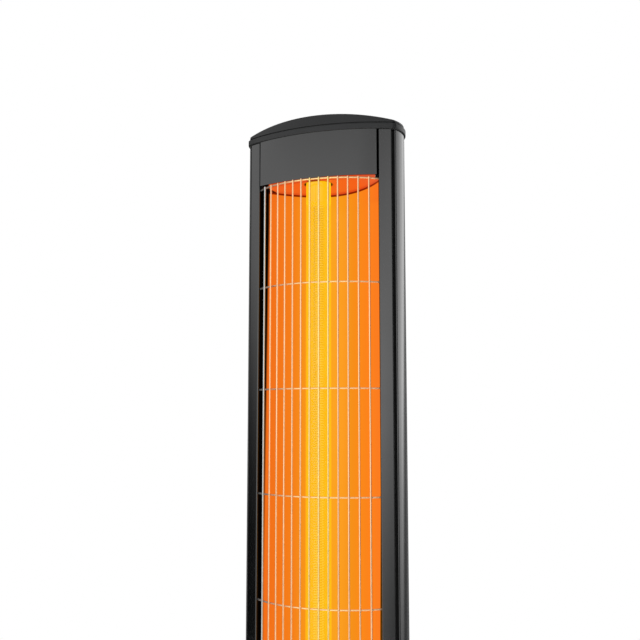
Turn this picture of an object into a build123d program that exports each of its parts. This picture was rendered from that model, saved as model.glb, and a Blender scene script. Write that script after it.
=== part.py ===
"""Infrared patio heater tower.

A slim aluminium tower on a round base. Two extruded front posts and one extruded
rear shell run from the base collar to the top cap and are screwed to a bulkhead at
each end. Between the posts lie a wire guard, a glowing quartz tube and a trough
reflector. All sizes are millimetres. X runs across the front, Y towards the back and
Z up. The origin is the centre of the base, on the floor.
"""

import math
import os

from build123d import *

# ---------------------------------------------------------------- driving sizes, mm

# Body section, seen from above
front_radius = 208.6        # arc of the front face
front_y = -47.4             # foremost point of that arc
side_radius = 46.2          # rounded sides
side_centre_x = 50.0
side_centre_y = -5.7
back_radius = 208.0         # gently bowed back

# Heights
foot_height = 3.5
weight_thickness = 6.0
cover_rise = 14.5           # from the weight's top to the flat top of the cover
collar_floor = 3.0
collar_well = 5.0           # free height for screw heads below the bulkhead
bulkhead_thickness = 3.0
collar_overlap = 9.0        # the collar wraps this much of the body
control_height = 150.0      # body below the opening
top_fascia_height = 53.7

# Guard
cross_wire_pitch = 120.0
cross_wire_count = 7
upright_pitch = 10.836
upright_count = 13
wire_radius = 1.0
guard_radius = 116.8        # bow of the cross wires
guard_end_depth = 4.3       # wire centre below the post's face where it enters the post
guard_margin = 4.0          # opening edge to the first cross wire
wire_gap = 0.03             # between an upright and the cross wires it is welded to
wire_hole_gap = 0.2
wire_tail = 0.9             # wire hole's end past the post's wall

# Front posts
post_inner_x = 74.7
post_outer_x = 89.2
post_back_y = -23.5
post_wall = 1.8
post_lip = 1.2              # thin inner lip in front of the reflector's flange
post_lip_gap = 0.2          # lip to the trough's edge and to the fascia's flange
post_fin_depth = 10.0       # outer fin, measured square to the front
post_edge_round = 1.2       # front edges, and the shell's edge beside the groove
post_port_x = 82.0
port_bore_radius = 2.1
port_wall = 1.7

# Rear shell
shell_wall = 1.6
groove_width = 3.2
groove_depth = 8.0
seal_depth = 3.0            # rubber strip in the groove, below the post's face
shell_port_x = 46.0
vent_length = 46.0
vent_height = 3.0
vent_pitch = 7.5
vent_columns = 2
vent_column_pitch = 58.0
upper_vent_rows = 8
lower_vent_rows = 5
upper_vent_drop = 34.0      # body top to the highest vent row
lower_vent_rise = 122.0     # body bottom to the lowest vent row

# Fascias
fascia_proud = 0.8
fascia_wall = 2.0
fascia_gap = 1.5            # to the posts
pad_radius = 3.0
pad_margin = 1.0            # flange's back edge to a pad
fascia_foot_gap = 0.5       # control fascia above the collar
fascia_pad_inset = 12.0     # pads from the ends of a fascia

# Reflector
reflector_back_y = 23.1
reflector_focus = 27.66     # focal length of the parabola
sheet = 0.8
reflector_flange_x = 80.5
end_plate_thickness = 1.0
plate_fold = 0.8            # thickness of the end plate's folded front edge
plate_fold_gap = 0.7        # fold to the fascia's inner face
plate_fold_lap = 3.0        # fold past the fascia's edge
tube_hole_radius = 16.5
rivet_radius = 1.5
rivet_head_radius = 2.8
rivet_head = 1.1
rivet_x = 77.6
rivet_rows = 4

# Heating tube
tube_y = -29.9
tube_radius = 14.5
tube_wall = 1.5
tube_past_plate = 1.5
coil_radius = 4.6
coil_wire_radius = 0.55
coil_turns = 36
coil_end_gap = 24.0         # coil end to the tube end
plug_depth = 10.0
plug_flange = 5.0
plug_gap = 0.1
stud_radius = 2.0
stud_length = 5.0
holder_ring_wall = 2.0
holder_tab = 10.0
holder_front_gap = 0.8      # open front of the ring to the end plate's fold

# Base
base_radius = 165.0
cover_wall = 2.5
cover_rim = 5.0
cover_slope = 53.0          # width of the curved slope round the flat top
weight_margin = 7.0         # weight inside the cover's edge
foot_radius = 9.0
foot_inset = 19.0           # foot centres inside the cover's edge
foot_count = 6
collar_outset = 4.0
collar_clearance = 0.3
collar_ledge = 5.5
collar_corner = 9.0
bolt_radius = 3.0
bolt_clearance = 0.3
bolt_head_radius = 5.5
bolt_head = 2.4
bolt_x = 60.0
bolt_front_y = -16.0
bolt_back_y = 20.0
boss_wall = 3.2
nut_height = 5.0
nut_across = 10.0

# Screws
screw_radius = 2.0
screw_head_radius = 3.8
screw_head = 2.2
screw_length = 14.0
small_screw_radius = 1.3
small_screw_head_radius = 2.4
small_screw_head = 1.4
head_clearance = 0.6        # round and over a hidden screw head

# Cap
lip_overhang = 1.8
lip_height = 7.0
lip_top_round = 1.0
lip_bottom_round = 1.2
cap_corner = 8.0
crease_height = 1.6         # shadow groove between the lip and the crown
crease_depth = 1.2
crown_rise = 18.0           # crown centre above the lip
crown_radius_x = 337.0      # curve of the crown across the front
crown_radius_y = 260.0      # curve of the crown front to back
dome_draft = 6.0            # lean of the crown's sides, degrees
cap_wall = 6.0
cap_cavity = 6.0
cap_boss_x = 30.0
cap_boss_radius = 4.5

# Controls
key_radius = 8.0
key_gap = 0.25
key_proud = 0.6
key_travel = 1.5
key_collar_radius = 9.6
key_collar = 1.3
key_rest_gap = 0.3          # collar to the fascia's inner face
key_stem_radius = 2.0
key_pitch = 30.0
key_first_rise = 38.0       # body bottom to the lowest key
lens_width = 26.0
lens_height = 8.0
lens_rise = 128.0           # body bottom to the lens centre
lens_gap = 0.15
lens_lip = 1.5
board_y = -37.0
board_thickness = 1.6
board_width = 60.0
board_height = 92.0
board_rise = 22.0
board_hole_inset = 5.0
standoff_radius = 3.2
switch_size = 6.0
switch_height = 3.5
sink_width = 40.0
sink_height = 32.0
sink_depth = 14.0
sink_base = 2.5
sink_fins = 7
sink_fin = 1.4
sink_rise = 40.0

# Rocker switch at the back
rocker_rise = 76.0          # body bottom to the pivot
rocker_width = 11.6
rocker_end_radius = 11.2
rocker_pivot_inset = 1.4    # pivot behind the shell's outer face
rocker_gap = 0.25
rocker_tilt = 8.0           # degrees each side of the middle
rocker_hollow = 2.0         # dip in the middle of the rocker
rocker_end_rise = 3.4
rocker_floor = 6.4          # lower side of the rocker below its pivot
rocker_pin_radius = 1.2
rocker_pin_gap = 0.05
rocker_pin_length = 1.3
rocker_body_width = 17.0
rocker_body_height = 27.0
rocker_body_depth = 17.0
rocker_bezel = 2.0
rocker_bezel_border = 2.5

# Cable gland
gland_rise = 25.0
gland_bore_radius = 3.8
gland_radius = 7.0
gland_flange_radius = 10.0
gland_flange = 2.5
gland_nose = 9.0
gland_inside = 8.0
gland_nut_thickness = 4.0

# Wiring and small electrical pieces
lead_radius = 1.5
lead_bend = 9.0
lead_reflector_gap = 0.3
clip_count = 4
clip_width = 9.0
clip_height = 6.0
clip_wall = 1.2
terminal_width = 36.0
terminal_depth = 16.0
terminal_height = 16.0
terminal_y = 6.0
terminal_ways = 4
cutout_radius = 8.0
cutout_height = 5.0
cutout_x = 38.0
cutout_y = -14.0

# Tip-over switch
tip_x = 0.0
tip_inset = 14.0            # centre inside the edge of the cover's flat top
tip_housing_width = 22.0
tip_housing_height = 11.0
plunger_radius = 4.0
plunger_gap = 0.08
plunger_collar_radius = 6.0
plunger_collar = 1.4
plunger_travel = 4.0
plunger_hole_gap = 0.4

# ---------------------------------------------------------------- derived places

half_width = side_centre_x + side_radius
front_centre_y = front_y + front_radius
back_centre_y = side_centre_y - math.sqrt((back_radius - side_radius) ** 2 - side_centre_x ** 2)
back_y = back_centre_y + back_radius

cover_flat_radius = base_radius - cover_slope
weight_radius = base_radius - weight_margin
foot_circle = base_radius - foot_inset
tip_y = tip_inset - cover_flat_radius

weight_bottom = foot_height
weight_top = weight_bottom + weight_thickness
cover_top = weight_top + cover_rise
collar_bottom = cover_top
collar_seat = collar_bottom + collar_floor + collar_well
body_bottom = collar_seat + bulkhead_thickness
collar_top = body_bottom + collar_overlap
opening_bottom = body_bottom + control_height
first_wire_z = opening_bottom + guard_margin
last_wire_z = first_wire_z + (cross_wire_count - 1) * cross_wire_pitch
opening_top = last_wire_z + guard_margin
body_top = opening_top + top_fascia_height
cap_seat = body_top + bulkhead_thickness
lip_top = body_top + lip_height

plate_low_z = first_wire_z          # upper face of the lower end plate
plate_high_z = last_wire_z          # lower face of the upper end plate
tube_bottom = plate_low_z - end_plate_thickness - tube_past_plate
tube_top = plate_high_z + end_plate_thickness + tube_past_plate


def front_arc_y(x, inset=0.0):
    """Y of the front arc at x, moved back by inset along its own radius."""
    return front_centre_y - math.sqrt((front_radius - inset) ** 2 - x * x)


def reflector_y(x):
    """Inner face of the reflector's parabola."""
    return reflector_back_y - x * x / (4.0 * reflector_focus)


guard_end_y = front_arc_y(post_inner_x) + guard_end_depth
guard_centre_y = guard_end_y + math.sqrt(guard_radius ** 2 - post_inner_x ** 2)
guard_y = guard_centre_y - guard_radius     # foremost point of the bowed cross wires
fold_radius = front_radius + fascia_proud - fascia_wall - plate_fold_gap
reflector_half = math.sqrt(4.0 * reflector_focus * (reflector_back_y - post_back_y))
post_corner_y = front_arc_y(post_outer_x)
post_corner_angle = math.degrees(math.asin(post_outer_x / front_radius))


# ---------------------------------------------------------------- shared outlines

def disc(radius, x=0.0, y=0.0):
    """Flat disc, seen from above."""
    return Pos(x, y) * Circle(radius)


def block(x0, x1, y0, y1):
    """Flat rectangle between two corners, seen from above."""
    return Pos((x0 + x1) / 2, (y0 + y1) / 2) * Rectangle(x1 - x0, y1 - y0)


def prism(face, z0, z1):
    """A plan outline raised from z0 to z1."""
    return extrude(Pos(0, 0, z0) * face, amount=z1 - z0)


def rod(radius, x, y, z0, z1):
    """Upright round bar."""
    return prism(disc(radius, x, y), z0, z1)


def bar_along_y(radius, x, z, y0, y1):
    """Round bar from y0 to y1."""
    return Pos(x, (y0 + y1) / 2, z) * Rot(90, 0, 0) * Cylinder(radius, abs(y1 - y0))


def bar_along_x(radius, y, z, x0, x1):
    """Round bar from x0 to x1."""
    return Pos((x0 + x1) / 2, y, z) * Rot(0, 90, 0) * Cylinder(radius, abs(x1 - x0))


def brick(x0, x1, y0, y1, z0, z1):
    """Square-edged block between two corners."""
    return Pos((x0 + x1) / 2, (y0 + y1) / 2, (z0 + z1) / 2) * Box(x1 - x0, y1 - y0, z1 - z0)


def mirrored(shape):
    """The same shape on the other side of the tower."""
    return mirror(shape, about=Plane.YZ)


def rounded_back(inset):
    """Sides and back of the body in plan, closed by a straight line ahead of the front arc."""
    side_r = side_radius - inset
    back_r = back_radius - inset
    reach = math.hypot(side_centre_x, side_centre_y - back_centre_y)
    turn = math.asin((side_centre_y - back_centre_y) / reach)
    tangent = (back_r * math.cos(turn), back_centre_y + back_r * math.sin(turn))
    start = (side_centre_x, side_centre_y - side_r)
    middle_angle = (turn - math.pi / 2) / 2
    middle = (side_centre_x + side_r * math.cos(middle_angle),
              side_centre_y + side_r * math.sin(middle_angle))
    left = [(-x, y) for x, y in (tangent, middle, start)]
    outline = [
        ThreePointArc(start, middle, tangent),
        ThreePointArc(tangent, (0, back_centre_y + back_r), left[0]),
        ThreePointArc(*left),
        Line(left[2], start),
    ]
    return make_face(outline)


def body_section(inset, corner=0.0):
    """Whole plan outline of the body, moved in by inset, with rounded front corners."""
    section = rounded_back(inset) & disc(front_radius - inset, 0, front_centre_y)
    face = section.faces()[0] if hasattr(section, "faces") else section
    if corner:
        corners = [v for v in face.vertices() if v.Y < side_centre_y - 1 and abs(v.X) > post_inner_x]
        face = fillet(corners, corner)
    return face


def front_band(outer_inset, inner_inset, x0, x1, back_limit=None):
    """Part of the front wall in plan: between two depths behind the arc, from x0 to x1."""
    back = post_back_y if back_limit is None else back_limit
    ring = disc(front_radius - outer_inset, 0, front_centre_y)
    ring -= disc(front_radius - inner_inset, 0, front_centre_y)
    return ring & block(x0, x1, front_y - 10, back)


def corner_block(t0, t1, n0, n1):
    """Rectangle at the post's outer corner: t runs along the front arc, n into the body."""
    place = Location((post_outer_x, post_corner_y, 0), (0, 0, post_corner_angle))
    return place * (Pos((t0 + t1) / 2, (n0 + n1) / 2) * Rectangle(t1 - t0, n1 - n0))


def round_corner(section, x, y):
    """Round the corner of a plan outline that lies nearest to a place."""
    face = section.faces()[0]
    corner = min(face.vertices(), key=lambda v: math.hypot(v.X - x, v.Y - y))
    return fillet(corner, post_edge_round)


def parabola_curve(back, half, edge):
    """Parabola in plan through (-half, edge), (0, back) and (half, edge)."""
    return Bezier((-half, edge), (0, 2 * back - edge), (half, edge))


# ---------------------------------------------------------------- body

def post_ports():
    """Centre of a post's screw port."""
    y_front = front_arc_y(post_port_x, post_wall)
    return post_port_x, (y_front + post_back_y - post_wall) / 2


def post_section():
    """Hollow front post: visible face, box with a screw port, inner lip, fin beside the groove."""
    front = disc(front_radius, 0, front_centre_y)
    outer_wall = corner_block(-40, 0, -20, 40)
    box = front & block(post_inner_x, post_outer_x + 5, front_y - 10, post_back_y) & outer_wall
    box = round_corner(box, post_outer_x, post_corner_y)
    box = round_corner(box, post_inner_x, front_arc_y(post_inner_x))
    hollow = disc(front_radius - post_wall, 0, front_centre_y)
    hollow &= block(post_inner_x + post_wall, post_outer_x + 5, front_y, post_back_y - post_wall)
    hollow &= corner_block(-40, -post_wall, -20, 40)
    port = disc(port_bore_radius + port_wall, *post_ports())
    fin = corner_block(-post_wall, 0, post_wall, post_fin_depth)
    lip = block(reflector_half + post_lip_gap, post_inner_x + post_wall, post_back_y - post_lip, post_back_y)
    return box - (hollow - port) + fin + lip - disc(port_bore_radius, *post_ports())


def cross_wire_path(z, reach):
    """Arc of one cross wire, out to x = +-reach."""
    y_end = guard_centre_y - math.sqrt(guard_radius ** 2 - reach ** 2)
    return ThreePointArc((-reach, y_end, z), (0, guard_y, z), (reach, y_end, z))


def wire_levels():
    """Heights of the cross wires."""
    return [first_wire_z + i * cross_wire_pitch for i in range(cross_wire_count)]


def arc_wire(z, reach, radius):
    """Round wire along the guard's arc."""
    path = cross_wire_path(z, reach)
    section = Plane(path @ 0, z_dir=path % 0) * Circle(radius)
    return sweep(section, path=path)


def right_post():
    post = prism(post_section(), body_bottom, body_top)
    for z in wire_levels():
        post -= wire_hole(z)
    for z in rivet_levels():
        post -= bar_along_y(rivet_radius + wire_hole_gap / 2, rivet_x, z,
                            post_back_y - post_wall - 0.5, post_back_y + 1)
    for z in fascia_screw_levels():
        post -= bar_along_x(small_screw_radius + wire_hole_gap / 2, pad_y(), z,
                            post_inner_x - 1, post_inner_x + post_wall + 0.5)
    return post


def shell_ports():
    """Centres of the shell's two screw ports, just inside the back wall."""
    depth = back_radius - shell_wall - port_bore_radius - port_wall + 0.6
    turn = math.acos(shell_port_x / depth)
    y = back_centre_y + depth * math.sin(turn)
    return [(-shell_port_x, y), (shell_port_x, y)]


def shell_section():
    """Rear shell: sides and back, with the wall and floor of the groove and two ports."""
    outline = rounded_back(0)
    skin = outline - rounded_back(shell_wall)
    skin -= block(-2 * half_width, 2 * half_width, 2 * front_y, post_corner_y)
    notch = corner_block(-12, groove_width, -12, groove_depth + shell_wall)
    wall = corner_block(groove_width, groove_width + shell_wall, -6, groove_depth + shell_wall)
    floor = corner_block(0, groove_width + shell_wall, groove_depth, groove_depth + shell_wall)
    wall = wall & outline
    section = skin - notch - mirrored(notch)
    for piece in (wall, floor):
        section = section + piece + mirrored(piece)
    for side in (-1, 1):
        section = round_corner(section, side * (post_outer_x + groove_width), post_corner_y)
    for x, y in shell_ports():
        section = section + (disc(port_bore_radius + port_wall, x, y) & outline)
    for x, y in shell_ports():
        section = section - disc(port_bore_radius, x, y)
    return section


def vent_slot(x, z):
    """One vent slot through the back wall."""
    slot = SlotOverall(vent_length, vent_height)
    plane = Plane(origin=(x, back_y + 5, z), x_dir=(1, 0, 0), z_dir=(0, -1, 0))
    return extrude(plane * slot, amount=20)


def rear_shell():
    shell = prism(shell_section(), body_bottom, body_top)
    columns = [(i - (vent_columns - 1) / 2) * vent_column_pitch for i in range(vent_columns)]
    levels = [body_top - upper_vent_drop - i * vent_pitch for i in range(upper_vent_rows)]
    levels += [body_bottom + lower_vent_rise + i * vent_pitch for i in range(lower_vent_rows)]
    for z in levels:
        for x in columns:
            shell -= vent_slot(x, z)
    shell -= brick(-rocker_body_width / 2 - key_gap, rocker_body_width / 2 + key_gap,
                   back_y - 10, back_y + 5,
                   rocker_z() - rocker_body_height / 2 - key_gap,
                   rocker_z() + rocker_body_height / 2 + key_gap)
    shell -= bar_along_y(gland_radius + key_gap, 0, gland_z(), back_y - 10, back_y + 5)
    return shell


def right_seal():
    """Rubber strip in the groove between the post's fin and the shell."""
    return prism(corner_block(0, groove_width, seal_depth, groove_depth), body_bottom, body_top)


def bulkhead(z0):
    """End plate that the posts and the shell are screwed to."""
    plate = prism(body_section(0.5), z0, z0 + bulkhead_thickness)
    for x, y in screw_points():
        plate -= rod(screw_radius + 0.2, x, y, z0 - 1, z0 + bulkhead_thickness + 1)
    return plate


def screw_points():
    """Centres of the four screw ports."""
    x, y = post_ports()
    return [(-x, y), (x, y)] + shell_ports()


def bottom_bulkhead():
    plate = bulkhead(collar_seat)
    for x, y in bolt_points():
        plate -= rod(bolt_radius + bolt_clearance, x, y, collar_seat - 1, body_bottom + 1)
    return plate


def top_bulkhead():
    plate = bulkhead(body_top)
    for x in (-cap_boss_x, cap_boss_x):
        plate -= rod(small_screw_radius + 0.2, x, 0, body_top - 1, cap_seat + 1)
    return plate


def pan_screw(x, y, z_seat, direction, radius, length, head_radius, head):
    """Screw with its head on z_seat and its shank running along direction, +1 up or -1 down."""
    z_tip = z_seat + direction * length
    z_head = z_seat - direction * head
    shank = rod(radius, x, y, min(z_seat, z_tip), max(z_seat, z_tip))
    top = rod(head_radius, x, y, min(z_seat, z_head), max(z_seat, z_head))
    slot = brick(x - head_radius, x + head_radius, y - 0.5, y + 0.5,
                 min(z_head, z_head + direction * head / 2),
                 max(z_head, z_head + direction * head / 2))
    return shank + top - slot


def end_screws():
    """Four screws into the ports at each end of the body."""
    size = (screw_radius, screw_length, screw_head_radius, screw_head)
    low = [pan_screw(x, y, collar_seat, 1, *size) for x, y in screw_points()]
    high = [pan_screw(x, y, cap_seat, -1, *size) for x, y in screw_points()]
    return low + high


# ---------------------------------------------------------------- cap

def crown():
    """Everything below the crowned top: an arc across the front, swept about a long arc."""
    top = lip_top + crown_rise
    x_side = half_width + lip_overhang
    drop = crown_radius_x - math.sqrt(crown_radius_x ** 2 - x_side ** 2)
    axis_z = top - crown_radius_y
    low = axis_z + crown_radius_y / 2
    outline = [
        ThreePointArc((-x_side, 0, top - drop), (0, 0, top), (x_side, 0, top - drop)),
        Polyline((x_side, 0, top - drop), (x_side, 0, low), (-x_side, 0, low), (-x_side, 0, top - drop)),
    ]
    section = make_face(outline)
    half_turn = math.degrees(math.asin(2 * side_radius / crown_radius_y))
    start = Rot(half_turn, 0, 0) * (Pos(0, 0, -axis_z) * section)
    solid = revolve(start, axis=Axis.X, revolution_arc=-2 * half_turn)
    return Pos(0, 0, axis_z) * solid


def top_cap():
    """Lip round the body, a shadow groove, and a crown that is bowed both ways."""
    lip = prism(body_section(-lip_overhang, cap_corner), body_top, lip_top)
    lip = fillet(lip.edges().group_by(Axis.Z)[-1], lip_top_round)
    lip = fillet(lip.edges().group_by(Axis.Z)[0], lip_bottom_round)
    crown_foot = lip_top + crease_height
    crown_corner = cap_corner - lip_overhang
    neck = prism(body_section(crease_depth, crown_corner - crease_depth), cap_seat, crown_foot)
    dome = extrude(Pos(0, 0, crown_foot) * body_section(0, crown_corner), amount=crown_rise,
                   taper=dome_draft)
    cap = lip + neck + (dome & crown())
    cap -= prism(body_section(0.5 - collar_clearance), body_top, cap_seat)
    cavity = prism(body_section(cap_wall), cap_seat, cap_seat + cap_cavity)
    for x in (-cap_boss_x, cap_boss_x):
        cavity -= rod(cap_boss_radius, x, 0, cap_seat, cap_seat + cap_cavity)
        cap -= rod(small_screw_radius, x, 0, cap_seat - 1, cap_seat + cap_cavity)
    for x, y in screw_points():
        cap -= rod(screw_head_radius + head_clearance, x, y, cap_seat - 1,
                   cap_seat + screw_head + head_clearance)
    return cap - cavity


def cap_screws():
    """Two screws up through the top bulkhead into the cap's bosses."""
    size = (small_screw_radius - 0.05, bulkhead_thickness + 5, small_screw_head_radius, small_screw_head)
    return [pan_screw(x, 0, body_top, 1, *size) for x in (-cap_boss_x, cap_boss_x)]


# ---------------------------------------------------------------- fascias

def fascia_half():
    """Half width of a fascia."""
    return post_inner_x - fascia_gap


def flange_back():
    """Back edge of a fascia's side flange, just ahead of the posts' lips."""
    return post_back_y - post_lip - post_lip_gap


def pad_y():
    """Depth of the fascia's fixing pads and screws."""
    return flange_back() - pad_margin - pad_radius


def fascia_screw_levels():
    """Heights of the fascia fixings, lower fascia first."""
    low = collar_top + fascia_foot_gap
    return [low + fascia_pad_inset, opening_bottom - fascia_pad_inset,
            opening_top + fascia_pad_inset, body_top - fascia_pad_inset]


def fascia(z0, z1):
    """Curved panel with a flange down each side and pads that reach the posts."""
    half = fascia_half()
    skin = front_band(-fascia_proud, fascia_wall - fascia_proud, -half, half)
    flange_front = front_arc_y(half, fascia_wall / 2)
    flange = block(half - fascia_wall, half, flange_front, flange_back())
    panel = prism(skin + flange + mirrored(flange), z0, z1)
    for z in fascia_screw_levels():
        if z0 < z < z1:
            pad = bar_along_x(pad_radius, pad_y(), z, half - fascia_wall / 2, post_inner_x)
            panel = panel + pad + mirrored(pad)
    for z in fascia_screw_levels():
        if z0 < z < z1:
            hole = bar_along_x(small_screw_radius + 0.1, pad_y(), z, half - 6, post_inner_x + 1)
            panel = panel - hole - mirrored(hole)
    return panel


def top_fascia():
    return fascia(opening_top, body_top)


def key_levels():
    """Heights of the three keys, lowest first."""
    return [body_bottom + key_first_rise + i * key_pitch for i in range(3)]


def lens_z():
    return body_bottom + lens_rise


def board_corners():
    """Fixing points of the control board, x and z."""
    low = body_bottom + board_rise + board_hole_inset
    high = body_bottom + board_rise + board_height - board_hole_inset
    side = board_width / 2 - board_hole_inset
    return [(x, z) for x in (-side, side) for z in (low, high)]


def control_fascia():
    panel = fascia(collar_top + fascia_foot_gap, opening_bottom)
    for z in key_levels():
        panel -= bar_along_y(key_radius + key_gap, 0, z, front_y - 10, board_y)
    panel -= brick(-lens_width / 2 - lens_gap, lens_width / 2 + lens_gap, front_y - 10, board_y,
                   lens_z() - lens_height / 2 - lens_gap, lens_z() + lens_height / 2 + lens_gap)
    inner = prism(disc(front_radius - fascia_wall / 2, 0, front_centre_y), body_bottom, opening_bottom)
    for x, z in board_corners():
        post = bar_along_y(standoff_radius, x, z, front_y - 2, board_y) & inner
        panel += post
        panel -= bar_along_y(small_screw_radius - 0.1, x, z, board_y - 6, board_y + 1)
    return panel


def fascia_screws():
    """Screws through the flanges and pads into the posts' walls."""
    half = fascia_half() - fascia_wall
    screws = []
    for z in fascia_screw_levels():
        for side in (-1, 1):
            shank = bar_along_x(small_screw_radius, pad_y(), z, side * half,
                                side * (post_inner_x + post_wall + 0.5))
            head = bar_along_x(small_screw_head_radius, pad_y(), z, side * half,
                               side * (half - small_screw_head))
            screws.append(shank + head)
    return screws


# ---------------------------------------------------------------- reflector and guard

def reflector():
    """Parabolic trough with a flange each side on the posts' back faces."""
    edge = post_back_y
    back_edge = edge + sheet
    slope = reflector_half / (2 * reflector_focus)
    outer_half = reflector_half + sheet * math.sqrt(1 + 1 / slope ** 2) - sheet / slope
    outline = [
        parabola_curve(reflector_back_y, reflector_half, edge),
        Polyline((reflector_half, edge), (reflector_flange_x, edge), (reflector_flange_x, back_edge),
                 (outer_half, back_edge)),
        parabola_curve(reflector_back_y + sheet, outer_half, back_edge),
        Polyline((-outer_half, back_edge), (-reflector_flange_x, back_edge),
                 (-reflector_flange_x, edge), (-reflector_half, edge)),
    ]
    trough = prism(make_face(outline), plate_low_z, plate_high_z)
    for z in rivet_levels():
        for x in (-rivet_x, rivet_x):
            trough -= bar_along_y(rivet_radius + 0.1, x, z, edge - 1, back_edge + 1)
    return trough


def wire_hole(z):
    """Room for one cross wire, as far as its holes in the posts reach."""
    return arc_wire(z, post_inner_x + post_wall + wire_tail, wire_radius + wire_hole_gap)


def end_plate(z0, fold_z0, fold_z1, wire_z):
    """Flat end of the trough: a hole for the tube, and a fold that closes the gap to the fascia.

    Its front corners stay behind the cross wire at wire_z, and its fold is notched for it.
    """
    edge = post_back_y + sheet
    slope = reflector_half / (2 * reflector_focus)
    half = reflector_half + sheet * math.sqrt(1 + 1 / slope ** 2) - sheet / slope
    back = make_face([parabola_curve(reflector_back_y + sheet, half, edge),
                      Line((half, edge), (-half, edge))])
    front = block(-reflector_half, reflector_half, front_y, edge)
    front &= disc(fold_radius, 0, front_centre_y)
    front &= disc(guard_radius - wire_radius - wire_hole_gap, 0, guard_centre_y)
    plate = back + front - disc(tube_hole_radius, 0, tube_y)
    fold = disc(fold_radius, 0, front_centre_y) - disc(fold_radius - plate_fold, 0, front_centre_y)
    fold_half = fascia_half() - fascia_wall - plate_fold_gap
    fold &= block(-fold_half, fold_half, front_y, post_back_y)
    return prism(plate, z0, z0 + end_plate_thickness) + prism(fold, fold_z0, fold_z1) - wire_hole(wire_z)


def reflector_top_plate():
    return end_plate(plate_high_z, plate_high_z, opening_top + plate_fold_lap, last_wire_z)


def reflector_bottom_plate():
    low = plate_low_z - end_plate_thickness
    return end_plate(low, opening_bottom - plate_fold_lap, plate_low_z, first_wire_z)


def rivet_levels():
    """Heights of the reflector rivets, evenly spread."""
    step = (plate_high_z - plate_low_z) / rivet_rows
    return [plate_low_z + (i + 0.5) * step for i in range(rivet_rows)]


def reflector_rivets():
    """Rivets through the reflector's flanges and the posts' back walls."""
    rivets = []
    for z in rivet_levels():
        for x in (-rivet_x, rivet_x):
            shank = bar_along_y(rivet_radius, x, z, post_back_y - post_wall - 0.3, post_back_y + sheet)
            head = bar_along_y(rivet_head_radius, x, z, post_back_y + sheet,
                               post_back_y + sheet + rivet_head)
            rivets.append(shank + head)
    return rivets


def guard_crosswires():
    """Bowed wires whose ends sit in holes in the posts."""
    reach = post_inner_x + post_wall + wire_tail / 2
    return [arc_wire(z, reach, wire_radius) for z in wire_levels()]


def guard_uprights():
    """Straight wires welded on the outside of the cross wires."""
    ring = guard_radius + 2 * wire_radius + wire_gap
    wires = []
    for i in range(upright_count):
        x = (i - (upright_count - 1) / 2) * upright_pitch
        y = guard_centre_y - math.sqrt(ring ** 2 - x ** 2)
        wires.append(rod(wire_radius, x, y, first_wire_z - wire_radius, last_wire_z + wire_radius))
    return wires


# ---------------------------------------------------------------- heating tube

def quartz_tube():
    tube = rod(tube_radius, 0, tube_y, tube_bottom, tube_top)
    return tube - rod(tube_radius - tube_wall, 0, tube_y, tube_bottom - 1, tube_top + 1)


def biarc(p0, t0, p1, t1):
    """Two circular arcs from p0 to p1 that leave along t0 and arrive along t1."""
    span = p1 - p0
    both = t0 + t1
    a = 2 * (1 - t0.dot(t1))
    b = 2 * span.dot(both)
    c = span.dot(span)
    d = (-b + math.sqrt(b * b + 4 * a * c)) / (2 * a)
    q0 = p0 + t0 * d
    q1 = p1 - t1 * d
    joint = (q0 + q1) * 0.5
    return [TangentArc(p0, joint, tangent=t0),
            TangentArc(joint, p1, tangent=(q1 - q0).normalized())]


def coil_point(turn, z0, pitch):
    """Point and direction of the coil after so many turns."""
    angle = 2 * math.pi * turn
    point = Vector(coil_radius * math.cos(angle), tube_y + coil_radius * math.sin(angle),
                   z0 + pitch * turn)
    ahead = Vector(-2 * math.pi * coil_radius * math.sin(angle),
                   2 * math.pi * coil_radius * math.cos(angle), pitch)
    return point, ahead.normalized()


def heating_coil():
    """Resistance coil: one unbroken wire wound in even turns, between two straight ends."""
    z0 = tube_bottom + coil_end_gap
    pitch = (tube_top - tube_bottom - 2 * coil_end_gap) / coil_turns
    edges = []
    for half in range(2 * coil_turns):
        p0, t0 = coil_point(half / 2, z0, pitch)
        p1, t1 = coil_point((half + 1) / 2, z0, pitch)
        edges += biarc(p0, t0, p1, t1)
    path = Wire([e.edge() if hasattr(e, "edge") else e for e in edges])
    section = Plane(origin=path @ 0, z_dir=path % 0) * Circle(coil_wire_radius)
    least_gap = pitch * math.cos(math.atan(pitch / (2 * math.pi * coil_radius))) - 2 * coil_wire_radius
    print(f"coil: {coil_turns} turns, pitch {pitch:.2f} mm, least gap {measured_gap(z0, pitch):.2f} mm"
          f" on points, {least_gap:.2f} mm by formula")
    return sweep(section, path=path)


def measured_gap(z0, pitch):
    """Least free distance between one turn of the coil and the next, on points."""
    steps = 24
    first = [coil_point(i / steps, z0, pitch)[0] for i in range(steps)]
    nearest = []
    for i in range(steps // 2, 2 * steps):
        turn = 0.5 + i / steps
        point = coil_point(turn, z0, pitch)[0]
        far = [(point - other).length for k, other in enumerate(first) if turn - k / steps > 0.5]
        nearest.append(min(far))
    return min(nearest) - 2 * coil_wire_radius


def end_plug(z_end, direction):
    """Ceramic plug in one end of the tube, with its terminal stud outside."""
    bore = tube_radius - tube_wall - plug_gap
    inner = z_end - direction * plug_depth
    outer = z_end + direction * plug_flange
    tip = outer + direction * stud_length
    plug = rod(bore, 0, tube_y, min(inner, z_end), max(inner, z_end))
    plug += rod(tube_radius, 0, tube_y, min(z_end, outer), max(z_end, outer))
    return plug + rod(stud_radius, 0, tube_y, min(outer, tip), max(outer, tip))


def tube_plugs():
    return [end_plug(tube_bottom, -1), end_plug(tube_top, 1)]


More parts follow.
